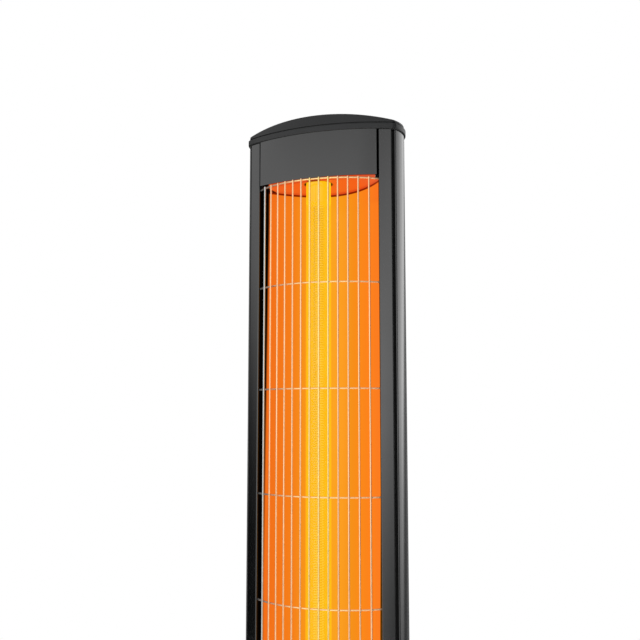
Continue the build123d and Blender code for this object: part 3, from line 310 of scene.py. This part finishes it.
# %% [markdown]
# The end plates glow too, painted light in a deeper orange, because the tube's light only
# grazes them. Round the tube's hole the heat has turned the metal a dark brown-red: a ring
# that is found by the distance from the tube's axis. At the left end a plate would mirror
# the black inner side of the post, as the trough does, so it is painted dark there: a
# painted reflection. The plates lie level, so the test by Y takes both of their sides for
# lit ones. The outer sides are hidden, but for what the vents at the back show of them.

# %% Lit end plates
tube_axis_mm = -29.9
ring_inner_mm, ring_outer_mm = 16.9, 17.9
# painted reflection: left of these distances the plate is painted dark, as if mirroring the post
left_dark_mm, left_lit_mm = -62.0, -60.5
plate_glow = 0.90

lit_end_plate, tree = new_material("lit_end_plate")
warm = colours_across(tree, trough_half_mm, [(-70, "#e05e22"), (-30, "#e25018"),
                                             (45, "#e34c18"), (68, "#dc5830")])
from_axis = add(tree, "ShaderNodeVectorMath", {"operation": "DISTANCE"},
                i0=add(tree, "ShaderNodeVectorMath", {"operation": "MULTIPLY"},
                       i0=object_place(tree), i1=(1, 1, 0)).outputs[0],
                i1=(0, tube_axis_mm * MM, 0))
clear_of_hole = add(tree, "ShaderNodeMapRange", i0=from_axis.outputs["Value"],
                    i1=ring_inner_mm * MM, i2=ring_outer_mm * MM)
scorched = add(tree, "ShaderNodeMixRGB", Fac=clear_of_hole.outputs[0],
               Color1=colour("#9a3a0a"), Color2=warm)
lit_sheet(tree, colour("#3a1c10"), scorched.outputs[0], plate_glow,
          axis_share(tree, "X", left_dark_mm, left_lit_mm))

# %% [markdown]
# ## Glowing quartz and coil
# A quartz tube holds a wound wire at orange-yellow heat. The glass is milky enough to
# glow as a whole, and the turns of the wire show through it only as fine cross lines.
# The wall is therefore part light, part clear: a third of it is glow, and the rest
# leaves the wire to be seen. The lines are painted shade: each turn's glow is painted
# darker on its lower side, as if its neighbour shaded it. Past the ends of the coil
# nearly all of the wall is glow, which hides the plugs.

# %% Glowing quartz
milky_share, hidden_share = 0.36, 0.95
coil_end = 4 * MM

glowing_quartz, tree = new_material("glowing_quartz")
drift = vary(tree, 14, 0.0, 1.0, (1, 1, 0.5))
coil_low, coil_high = (corner.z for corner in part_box("heating_coil"))
axes = add(tree, "ShaderNodeSeparateXYZ", Vector=object_place(tree))
from_middle = add(tree, "ShaderNodeMath", {"operation": "SUBTRACT"},
                  i0=axes.outputs["Z"], i1=(coil_low + coil_high) / 2)
along = add(tree, "ShaderNodeMath", {"operation": "ABSOLUTE"}, i0=from_middle.outputs[0])
coil_half = (coil_high - coil_low) / 2
milky = add(tree, "ShaderNodeMapRange", i0=along.outputs[0], i1=coil_half - coil_end, i2=coil_half,
            i3=milky_share, i4=hidden_share)
yellow = add(tree, "ShaderNodeValToRGB", Fac=drift, stops=[(0.0, "#fcbc10"), (1.0, "#fdc316")])
show(tree, add(tree, "ShaderNodeBsdfPrincipled",
               Base_Color=colour("#1c1204"), Roughness=0.12, IOR=1.46, Alpha=milky.outputs[0],
               Emission_Color=yellow.outputs["Color"], Emission_Strength=1.0).outputs[0])

# %% Hot wire
# painted shade: the glow is painted darker where the wire faces down
shaded_side, bright_side = -0.8, 0.4        # the surface normal's share along Z

hot_wire, tree = new_material("hot_resistance_wire")
facing = add(tree, "ShaderNodeSeparateXYZ",
             Vector=add(tree, "ShaderNodeNewGeometry").outputs["True Normal"])
upward = add(tree, "ShaderNodeMapRange", i0=facing.outputs["Z"],
             i1=shaded_side, i2=bright_side)
shaded_glow = add(tree, "ShaderNodeValToRGB", Fac=upward.outputs[0],
           stops=[(0.0, "#7a4408"), (0.5, "#e8a420"), (1.0, "#ffd24c")])
show(tree, add(tree, "ShaderNodeBsdfPrincipled",
               Base_Color=blotch(tree, 6, "#2c1c10", "#3a2818"), Roughness=0.6, Metallic=0.6,
               Emission_Color=shaded_glow.outputs["Color"], Emission_Strength=1.1).outputs[0])

# %% [markdown]
# ## Stainless wire
# Guard wire is drawn through a die, which leaves fine lines along it. They are too fine
# to be seen as lines, so a plain grain of 0.3 mm stands for them. The wire is bright and
# a metal, so its colour is that of the metal itself and its look comes from what it
# mirrors. In front of the glow the whole wire takes on a cream colour, yellower before
# the tube, and it is plain silver only at the far left, where black lies behind it.
# That warm cast is a painted reflection of the glow, painted across the guard by distance
# from the middle plane, and a little of it is given off as painted light, for the glow
# that creeps round the wire.

# %% Drawn stainless wire
cast_half_mm = 80
wire_glow = 0.16


def guard_wire(name, pairs):
    """Drawn stainless wire with a painted reflection of the glow that changes across the guard,
    and a little painted glow.
    """
    made, tree = new_material(name)
    cast = colours_across(tree, cast_half_mm, pairs)
    steel = add(tree, "ShaderNodeMixRGB", {"blend_type": "MULTIPLY"}, Fac=1.0,
                Color1=cast, Color2=vary(tree, 8, 0.90, 1.0))
    show(tree, add(tree, "ShaderNodeBsdfPrincipled", Base_Color=steel.outputs[0], Metallic=1.0,
                   Roughness=vary(tree, 8, 0.26, 0.36), Normal=grain(tree, 0.3, 0.01, 0.2),
                   Emission_Color=cast, Emission_Strength=wire_glow).outputs[0])
    return made


silver, cream, straw = "#c2c6c5", "#f7c79a", "#fadf8f"
upright_wire = guard_wire("drawn_stainless_uprights",
                          [(-62, silver), (-58, cream), (-8, cream), (-3, straw),
                           (24, straw), (29, cream)])
dull_silver, tan, pale_cream = "#a2a2a0", "#dcb490", "#fcd698"
cross_wire = guard_wire("drawn_stainless_cross_wires",
                        [(-76, dull_silver), (-45, tan), (-12, pale_cream), (30, pale_cream),
                         (76, cream)])

# %% [markdown]
# ## Smaller finishes
# Hidden and small parts still get what they are made of: zinc-plated steel with its
# faint yellow-blue bloom, unglazed steatite, silicone leads, a fibreglass board, nylon
# mouldings, smoked acrylic, rubber and a black-coated steel weight. The metals differ
# mostly in how sharp their highlights are: plated screws are patchy, a heat sink shows
# the lines of its extrusion, and the weight's coat is dull and slightly rough.

# %% Metals
zinc_plate, tree = new_material("zinc_plated_steel")
show(tree, add(tree, "ShaderNodeBsdfPrincipled",
               Base_Color=blotch(tree, 9, "#b9bcbd", "#a9a996"), Metallic=1.0,
               Roughness=vary(tree, 5, 0.32, 0.46), Normal=grain(tree, 0.5, 0.02, 0.2)).outputs[0])

plain_aluminium, tree = new_material("mill_finish_aluminium")
show(tree, add(tree, "ShaderNodeBsdfPrincipled",
               Base_Color=blotch(tree, 15, "#c3c4c4", "#cecece"), Metallic=1.0,
               Roughness=vary(tree, 10, 0.30, 0.40, (1, 1, 0.05)),
               Normal=grain(tree, 0.4, 0.01, 0.3, (1, 1, 0.02))).outputs[0])

black_weight, tree = new_material("black_coated_steel_plate")
show(tree, add(tree, "ShaderNodeBsdfPrincipled",
               Base_Color=blotch(tree, 40, "#171718", "#1d1d1e"),
               Roughness=vary(tree, 12, 0.5, 0.62), Normal=grain(tree, 0.9, 0.08, 0.5)).outputs[0])

# %% [markdown]
# Steatite is chalky and matt, and silicone half dull. A circuit board and nylon have a
# low, even shine, and the keys are softer still. The clips at the tube's ends are
# scorched brown by the heat, acrylic is glossy and nearly black, and rubber swallows
# nearly all light.

# %% Ceramics, plastics and rubber
steatite, tree = new_material("steatite_ceramic")
show(tree, add(tree, "ShaderNodeBsdfPrincipled",
               Base_Color=blotch(tree, 6, "#e3ddcf", "#eee9dd"),
               Roughness=vary(tree, 3, 0.55, 0.7), Normal=grain(tree, 0.4, 0.02, 0.3)).outputs[0])

silicone, tree = new_material("silicone_lead")
show(tree, add(tree, "ShaderNodeBsdfPrincipled",
               Base_Color=blotch(tree, 20, "#a3301f", "#ad3724"),
               Roughness=vary(tree, 6, 0.48, 0.6), Normal=grain(tree, 0.5, 0.02, 0.25)).outputs[0])

fibreglass, tree = new_material("green_fibreglass_board")
show(tree, add(tree, "ShaderNodeBsdfPrincipled",
               Base_Color=blotch(tree, 4, "#1d5230", "#235c38"),
               Roughness=vary(tree, 8, 0.35, 0.45), Normal=grain(tree, 0.6, 0.02, 0.3)).outputs[0])

black_nylon, tree = new_material("black_nylon")
show(tree, add(tree, "ShaderNodeBsdfPrincipled",
               Base_Color=blotch(tree, 12, "#161617", "#1c1c1d"),
               Roughness=vary(tree, 5, 0.38, 0.5), Normal=grain(tree, 0.5, 0.03, 0.3)).outputs[0])

key_plastic, tree = new_material("soft_touch_key")
show(tree, add(tree, "ShaderNodeBsdfPrincipled",
               Base_Color=blotch(tree, 10, "#4e5052", "#545658"),
               Roughness=vary(tree, 4, 0.5, 0.6), Normal=grain(tree, 0.4, 0.02, 0.3)).outputs[0])

scorched_steel, tree = new_material("scorched_steel_clip")
show(tree, add(tree, "ShaderNodeBsdfPrincipled",
               Base_Color=blotch(tree, 7, "#3a140c", "#4a2214"), Metallic=0.7,
               Roughness=vary(tree, 4, 0.45, 0.6), Normal=grain(tree, 0.6, 0.03, 0.3)).outputs[0])

smoked_acrylic, tree = new_material("smoked_acrylic")
show(tree, add(tree, "ShaderNodeBsdfPrincipled",
               Base_Color=blotch(tree, 10, "#0c080a", "#120b0d"),
               Roughness=vary(tree, 6, 0.06, 0.10), IOR=1.49).outputs[0])

black_rubber, tree = new_material("black_rubber")
show(tree, add(tree, "ShaderNodeBsdfPrincipled",
               Base_Color=blotch(tree, 8, "#050505", "#090909"), Specular_IOR_Level=0.12,
               Roughness=vary(tree, 5, 0.7, 0.85), Normal=grain(tree, 0.6, 0.05, 0.5)).outputs[0])

white_print, tree = new_material("white_pad_print")
show(tree, add(tree, "ShaderNodeBsdfPrincipled",
               Base_Color=blotch(tree, 3, "#c9cbcb", "#d4d5d5"),
               Roughness=vary(tree, 3, 0.45, 0.55)).outputs[0])

# %% [markdown]
# ## Give each part its finish
# A table keeps this readable: the finish on the left, the parts that have it on the
# right. Each part came with one material slot, which is filled with the new finish.

# %% Finish table
finishes = {
    post_coat: ["left_post", "right_post"],
    fascia_coat: ["top_fascia", "control_fascia"],
    powder_coat: ["rear_shell"],
    grained_abs: ["top_cap", "base_collar", "base_cover"],
    lit_reflector: ["reflector"],
    lit_end_plate: ["reflector_top_plate", "reflector_bottom_plate"],
    glowing_quartz: ["quartz_tube"],
    hot_wire: ["heating_coil", "coil_tails"],
    upright_wire: ["guard_uprights"],
    cross_wire: ["guard_crosswires"],
    scorched_steel: ["tube_holders", "reflector_rivets"],
    zinc_plate: ["top_bulkhead", "bottom_bulkhead", "cap_screws", "end_screws", "fascia_screws",
                 "thermal_cutout", "lead_clips", "board_screws", "base_bolts", "base_nuts"],
    plain_aluminium: ["heat_sink"],
    black_weight: ["base_weight"],
    steatite: ["tube_plugs", "terminal_block"],
    silicone: ["upper_lead", "lower_lead", "switch_leads"],
    fibreglass: ["control_board"],
    black_nylon: ["key_switches", "rocker_housing", "power_rocker", "cable_gland", "gland_nut",
                  "tip_switch_housing", "tip_plunger"],
    key_plastic: ["key_power", "key_plus", "key_minus"],
    smoked_acrylic: ["receiver_lens"],
    black_rubber: ["rubber_feet", "left_seal", "right_seal"],
}
for finish, parts in finishes.items():
    for part in parts:
        nodes[part].data.materials[0] = finish
print("finished parts:", sum(len(parts) for parts in finishes.values()), "of", len(nodes))

# %% [markdown]
# ## A helper that ends each new piece
# Every new piece is built in a bmesh and ends the same way: doubles merged, normals
# turned outwards, a material, and a body to ride on. Its object stays at the origin,
# so that its place is in its vertices like the other parts'.

# %% Finish a new piece
def piece(name, bm, finish, body, smooth=True):
    """Make an object of a bmesh and fix it to a body of the tower."""
    bmesh.ops.remove_doubles(bm, verts=bm.verts, dist=1e-6)
    bmesh.ops.recalc_face_normals(bm, faces=bm.faces)
    for face in bm.faces:
        face.smooth = smooth
    mesh = bpy.data.meshes.new(name)
    bm.to_mesh(mesh)
    bm.free()
    mesh.materials.append(finish)
    made = bpy.data.objects.new(name, mesh)
    bpy.context.scene.collection.objects.link(made)
    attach(made, body)
    print(name, "faces:", len(mesh.polygons))
    return made


# %% [markdown]
# ## The heating coil, wound fine
# The real wire is wound at about 2 mm a turn, much finer than the solid model's, and is
# drawn at 2.8 mm so that the turns can be told apart in the picture. A wound
# wire is a circle carried round an axis while it climbs, and that is just what the
# spin operator does when it is given a step upwards. Twelve steps a turn and a
# five-sided wire are plenty behind glowing glass. A spin grows slow on a long coil, so
# only an eighth is spun, and that is doubled three times, each copy set on top.

# %% Wind the coil
low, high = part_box("heating_coil")
coil_depth = (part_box("quartz_tube")[0].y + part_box("quartz_tube")[1].y) / 2
wire_radius = 0.8 * MM
coil_growth = 0.2 * MM
coil_radius = high.x + coil_growth
coil_pitch = 2.8 * MM
coil_bottom, coil_top = low.z + wire_radius, high.z - wire_radius
doublings = 3
first_turns = int((coil_top - coil_bottom) / coil_pitch) // 2 ** doublings
steps_a_turn, wire_sides = 12, 5

bm = bmesh.new()
start = (Matrix.Translation((coil_radius, coil_depth, coil_bottom))
         @ Matrix.Rotation(math.pi / 2, 4, "X"))
ring = bmesh.ops.create_circle(bm, segments=wire_sides, radius=wire_radius, matrix=start)["verts"]
bmesh.ops.spin(bm, geom=ring + bm.edges[:], cent=(0, coil_depth, 0), axis=(0, 0, 1),
               angle=2 * math.pi * first_turns, steps=steps_a_turn * first_turns, use_merge=False,
               dvec=(0, 0, coil_pitch / steps_a_turn))
for doubling in range(doublings):
    copy = bmesh.ops.duplicate(bm, geom=bm.verts[:] + bm.edges[:] + bm.faces[:])["geom"]
    bmesh.ops.translate(bm, vec=(0, 0, coil_pitch * first_turns * 2 ** doubling),
                        verts=[part for part in copy if isinstance(part, bmesh.types.BMVert)])
bmesh.ops.remove_doubles(bm, verts=bm.verts, dist=1e-6)
bmesh.ops.holes_fill(bm, edges=[e for e in bm.edges if e.is_boundary], sides=wire_sides)
coil = piece("coil_turns", bm, hot_wire, "tower")
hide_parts("heating_coil")
print("turns:", first_turns * 2 ** doublings)

# %% [markdown]
# ## Weld beads on the guard
# Where two guard wires cross they are spot-welded, and the metal swells a little. A
# bead is a small ball pressed flat between the wires. It catches the light, which is
# why the crossings look paler than the wires.

# %% Weld beads
cross_low, cross_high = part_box("guard_crosswires")
rows, columns = 7, 13
guard_wire_radius = 1.0 * MM
guard_radius = 116.8 * MM
bead_radius = 1.2 * MM
bead_shape = (1.15, 0.9, 1.15, 1)
guard_centre = cross_low.y + guard_wire_radius + guard_radius
row_low, row_high = cross_low.z + guard_wire_radius, cross_high.z - guard_wire_radius
column_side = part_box("guard_uprights")[1].x - guard_wire_radius
bead_depth = guard_radius + guard_wire_radius

bm = bmesh.new()
for row in range(rows):
    z = row_low + (row_high - row_low) * row / (rows - 1)
    for column in range(columns):
        x = column_side * (2 * column / (columns - 1) - 1)
        turned = math.asin(x / guard_radius)
        place = (Matrix.Translation((bead_depth * math.sin(turned),
                                     guard_centre - bead_depth * math.cos(turned), z))
                 @ Matrix.Rotation(turned, 4, "Z") @ Matrix.Diagonal(bead_shape))
        bmesh.ops.create_icosphere(bm, subdivisions=1, radius=bead_radius, matrix=place)
welds = piece("guard_weld_beads", bm, cross_wire, "tower")

# %% [markdown]
# ## Stops beside the end plates
# The end plates leave a small gap to the posts, through which daylight would show from
# the vents behind. Four black rubber blocks close it, just above or below the guard's
# outermost wires. Their edges are rounded a little, as on moulded rubber.

# %% Gap stops
plate_edge_mm, post_face_mm = 70.8, 74.5
stop_depth_mm, stop_heights_mm = -30.6, (911.6, 186.4)
stop_size = Vector((post_face_mm - plate_edge_mm, 5.0, 2.4)) * MM
stop_rounding = 0.5 * MM

bm = bmesh.new()
for side in (-1, 1):
    for height in stop_heights_mm:
        middle = Vector((side * (plate_edge_mm + post_face_mm) / 2, stop_depth_mm, height)) * MM
        place = Matrix.Translation(middle) @ Matrix.Diagonal((*stop_size, 1))
        bmesh.ops.create_cube(bm, size=1.0, matrix=place)
bmesh.ops.bevel(bm, geom=bm.edges[:], offset=stop_rounding, offset_type="OFFSET",
                affect="EDGES", segments=2, profile=0.5, material=-1)
stops = piece("plate_gap_stops", bm, black_rubber, "tower", smooth=False)

# %% [markdown]
# ## Marks on the keys
# The three keys carry the common signs for power, more and less. They are pad-printed:
# thin ink on the face. Each is a few flat shapes given the thickness of a print, laid
# on the key's face, and it rides on its own key so that it moves when the key is
# pressed. The power sign's ring leaves a gap of 35 degrees on each side of its bar.

# %% Key signs
print_height = 0.12 * MM


def bar(bm, x, z, width, height, y):
    """A thin printed bar on a face that looks towards -Y."""
    place = Matrix.Translation((x, y, z)) @ Matrix.Diagonal((width, print_height * 2, height, 1))
    bmesh.ops.create_cube(bm, size=1.0, matrix=place)


def key_front(key):
    """Foremost depth and middle height of a key."""
    key_low, key_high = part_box(key)
    return key_low.y, (key_low.z + key_high.z) / 2


sign_length, sign_line = 6 * MM, 1.2 * MM
arm_length = (sign_length - sign_line) / 2

for key, upright in (("key_plus", True), ("key_minus", False)):
    y, z = key_front(key)
    bm = bmesh.new()
    bar(bm, 0, z, sign_length, sign_line, y)
    if upright:
        for way in (1, -1):
            bar(bm, 0, z + way * (sign_line + arm_length) / 2, sign_line, arm_length, y)
    sign = piece(key + "_sign", bm, white_print, key, smooth=False)

# %% Power sign
ring_radius, ring_line = 3.2 * MM, 0.75 * MM
ring_gap, ring_turn, ring_steps = math.radians(35), math.radians(290), 28
ring_profile = (0.75, 0.32, 0.32, 1)
power_bar_rise, power_bar_width, power_bar_height = 2.2 * MM, 1.1 * MM, 3.2 * MM

y, z = key_front("key_power")
bm = bmesh.new()
start = (Matrix.Translation((ring_radius * math.sin(ring_gap), y,
                             z + ring_radius * math.cos(ring_gap)))
         @ Matrix.Rotation(ring_gap, 4, "Y") @ Matrix.Rotation(math.pi / 4, 4, "X")
         @ Matrix.Diagonal(ring_profile))
bmesh.ops.create_circle(bm, cap_ends=True, segments=4, radius=ring_line, matrix=start)
bmesh.ops.spin(bm, geom=bm.verts[:] + bm.edges[:] + bm.faces[:], cent=(0, y, z), axis=(0, 1, 0),
               angle=ring_turn, steps=ring_steps, use_merge=False)
bar(bm, 0, z + power_bar_rise, power_bar_width, power_bar_height, y)
sign = piece("key_power_sign", bm, white_print, "key_power", smooth=False)

# %% [markdown]
# ## Floor and background
# The tower stands on a plain pale floor, a disc that fades into the white background
# towards its rim, as a paper sweep does.
#
# The room behind is white only where the camera looks at it, straight or through glass.
# Everything else is lit by a softer level, so that a background bright enough to be
# white does not wash out the dark paint, and mirror-like reflections see a room of
# their own, with a dark corner low on the left and a bright panel behind on the right.

# %% Floor
floor_radius = 1.30
fade_start, fade_end = 0.45, 1.20

bm = bmesh.new()
bmesh.ops.create_circle(bm, cap_ends=True, segments=128, radius=floor_radius)
floor_mesh = bpy.data.meshes.new("studio_floor")
bm.to_mesh(floor_mesh)
bm.free()
floor = bpy.data.objects.new("studio_floor", floor_mesh)
bpy.context.scene.collection.objects.link(floor)
floor_paint, tree = new_material("pale_floor_paint")
paint = add(tree, "ShaderNodeBsdfPrincipled",
            Base_Color=blotch(tree, 300, "#f2f2f1", "#f5f5f4"), Roughness=0.75)
from_tower = add(tree, "ShaderNodeVectorMath", {"operation": "LENGTH"}, i0=object_place(tree))
faded = add(tree, "ShaderNodeMapRange", i0=from_tower.outputs["Value"],
            i1=fade_start, i2=fade_end)
camera_fade = add(tree, "ShaderNodeMath", {"operation": "MULTIPLY"}, i0=faded.outputs[0],
                  i1=add(tree, "ShaderNodeLightPath").outputs["Is Camera Ray"])
backdrop = add(tree, "ShaderNodeEmission", Color=colour("#ffffff"), Strength=1.0)
show(tree, add(tree, "ShaderNodeMixShader", Fac=camera_fade.outputs[0],
               i1=paint.outputs[0], i2=backdrop.outputs[0]).outputs[0])
floor_mesh.materials.append(floor_paint)
print("floor:", 2 * floor_radius, "m across")

# %% World
world = bpy.data.worlds.new("white_room")
bpy.context.scene.world = world
world.use_nodes = True
tree = world.node_tree
tree.nodes.clear()
axes = add(tree, "ShaderNodeSeparateXYZ",
           Vector=add(tree, "ShaderNodeTexCoord").outputs["Generated"])
towards_front = add(tree, "ShaderNodeMath", {"operation": "MULTIPLY"},
                    i0=axes.outputs["Y"], i1=-1.0).outputs[0]
turn = add(tree, "ShaderNodeMath", {"operation": "ARCTAN2"},
           i0=axes.outputs["X"], i1=towards_front).outputs[0]
rise = add(tree, "ShaderNodeMath", {"operation": "ARCSINE"}, i0=axes.outputs["Z"]).outputs[0]

# %% [markdown]
# The room that the satin coat mirrors is described by short tables. The first gives, for
# each height above the horizon in degrees, how bright the left part of the room, its
# front part and the soft panel behind on the right are. The others give, for directions
# round the tower counted from the front towards the right, how much of each is seen.
# The edges of these bright parts lean, so their directions are shifted by the height.

# %% The mirrored room
brightest = 3.4
lowest, highest = -15, 60
heights = [(lowest, 0.00, 1.10, 1.3), (-9, 0.10, 1.30, 1.7), (-2, 0.26, 1.74, 2.6),
           (2, 0.58, 1.80, 3.1), (9, 0.98, 1.43, 2.4), (15, 1.05, 1.20, 1.9),
           (22, 1.05, 0.66, 1.5), (highest, 0.50, 0.50, 0.5)]
left_seen = [(-180, 0.4), (-98, 0.04), (-85, 0.05), (-76, 0.2), (-66, 0.8), (-60, 1)]
front_seen = [(-5, 1), (3, 0.78), (20, 1), (27, 0.95), (43, 0.4), (50, 0.12), (100, 0),
              (155, 0), (180, 0.25)]
panel_near = [(116, 0), (137, 1)]
panel_far = [(143, 1), (150, 0.3), (154, 0.12), (168, 0)]


def seen_round(angle, rows):
    """How much is seen in each direction, from rows of degrees and shares."""
    whole_turn = add(tree, "ShaderNodeMapRange", i0=angle, i1=-math.pi, i2=math.pi)
    return add(tree, "ShaderNodeValToRGB", Fac=whole_turn.outputs[0],
               stops=[((degrees + 180) / 360, [share] * 3)
                      for degrees, share in rows]).outputs["Color"]


height_share = add(tree, "ShaderNodeMapRange", i0=rise,
                   i1=math.radians(lowest), i2=math.radians(highest))
levels = add(tree, "ShaderNodeValToRGB", Fac=height_share.outputs[0],
             stops=[((height - lowest) / (highest - lowest),
                     [level / brightest for level in bright]) for height, *bright in heights])

# %% [markdown]
# The left part of the room ends where the front part begins, so the two share one soft
# edge. The panel is seen where both of its edges let it: its near edge is upright and
# its far edge leans, and leans further above the horizon than below it.

# %% Which part is seen where
panel_lean = 1.6
front_from, front_full = -62, -45

leaning_left = add(tree, "ShaderNodeMath", {"operation": "ADD"}, i0=turn, i1=rise).outputs[0]
leaning_right = add(tree, "ShaderNodeMath", {"operation": "SUBTRACT"},
                    i0=turn, i1=rise).outputs[0]
steep_rise = add(tree, "ShaderNodeMath", {"operation": "MULTIPLY"},
                 i0=rise, i1=panel_lean).outputs[0]
far_lean = add(tree, "ShaderNodeMath", {"operation": "MAXIMUM"},
               i0=rise, i1=steep_rise).outputs[0]
leaning_far = add(tree, "ShaderNodeMath", {"operation": "SUBTRACT"},
                  i0=turn, i1=far_lean).outputs[0]
front_share = add(tree, "ShaderNodeMapRange", i0=turn,
                  i1=math.radians(front_from), i2=math.radians(front_full)).outputs[0]
left_share = add(tree, "ShaderNodeMath", {"operation": "SUBTRACT"},
                 i0=1.0, i1=front_share).outputs[0]

parts_seen = {"X": (seen_round(leaning_left, left_seen), left_share),
              "Y": (seen_round(leaning_right, front_seen), front_share),
              "Z": (seen_round(turn, panel_near), seen_round(leaning_far, panel_far))}
weights = add(tree, "ShaderNodeCombineXYZ",
              **{axis: add(tree, "ShaderNodeMath", {"operation": "MULTIPLY"}, i0=first,
                           i1=second).outputs[0] for axis, (first, second) in parts_seen.items()})
seen = add(tree, "ShaderNodeVectorMath", {"operation": "DOT_PRODUCT"},
           i0=levels.outputs["Color"], i1=weights.outputs["Vector"])
room_level = add(tree, "ShaderNodeMath", {"operation": "MULTIPLY"},
                 i0=seen.outputs["Value"], i1=brightest)
print("levels in the mirrored room:", len(heights), "heights of", len(parts_seen), "parts")

# %% What each kind of ray sees
soft_level = 0.45
path = add(tree, "ShaderNodeLightPath")
straight = add(tree, "ShaderNodeMath", {"operation": "MAXIMUM"},
               i0=path.outputs["Is Camera Ray"], i1=path.outputs["Is Transmission Ray"])
soft = add(tree, "ShaderNodeBackground", Color=colour("#ffffff"), Strength=soft_level)
room = add(tree, "ShaderNodeBackground", Color=colour("#ffffff"), Strength=room_level.outputs[0])
white = add(tree, "ShaderNodeBackground", Color=colour("#ffffff"), Strength=1.0)
mirrored = add(tree, "ShaderNodeMixShader", Fac=path.outputs["Is Glossy Ray"],
               i1=soft.outputs[0], i2=room.outputs[0])
all_rays = add(tree, "ShaderNodeMixShader", Fac=straight.outputs[0],
               i1=mirrored.outputs[0], i2=white.outputs[0])
add(tree, "ShaderNodeOutputWorld", Surface=all_rays.outputs[0])

# %% [markdown]
# ## Soft lights
# Two large panels light the tower, one from the front and one from the right. They
# are kept out of the mirror reflections, which the room above gives.

# %% Light panels
def panel(name, place, target, width, height, power):
    """A rectangular soft light at place that looks at target."""
    lamp = bpy.data.lights.new(name, "AREA")
    lamp.shape = "RECTANGLE"
    lamp.size, lamp.size_y = width, height
    lamp.energy = power
    made = bpy.data.objects.new(name, lamp)
    made.location = place
    aim = Vector(target) - Vector(place)
    made.rotation_euler = aim.to_track_quat("-Z", "Y").to_euler()
    made.visible_camera = False
    made.visible_glossy = False
    bpy.context.scene.collection.objects.link(made)
    print(name, "power:", power, "W")


panel("front_panel", place=(0.9, -2.6, 1.9), target=(0, 0, 0.6), width=1.6, height=1.2, power=55)
panel("right_panel", place=(2.4, 0.3, 1.7), target=(0, 0, 0.8), width=0.9, height=1.4, power=40)

# %% [markdown]
# ## Camera
# The picture was taken from a little to the right, from below the tower's top and
# looking slightly up, so that only the upper part is in the frame. A 50 mm lens at
# about a metre gives the strong taper.

# %% Camera
lens_mm, film_width_mm = 50.0, 36.0
camera_place_mm = (369.46, -983.65, 636.72)
look_up_degrees, look_left_degrees = 6.25, 21.08
far_enough = 50.0

camera_data = bpy.data.cameras.new("photo_camera")
camera_data.lens = lens_mm
camera_data.sensor_width = film_width_mm
camera_data.clip_end = far_enough
camera = bpy.data.objects.new("photo_camera", camera_data)
camera.location = [distance * MM for distance in camera_place_mm]
camera.rotation_euler = (math.radians(90 + look_up_degrees), 0, math.radians(look_left_degrees))
bpy.context.scene.collection.objects.link(camera)
bpy.context.scene.camera = camera
bpy.context.scene.view_settings.view_transform = "Standard"
print("camera distance:", round(camera.location.xy.length, 3), "m")
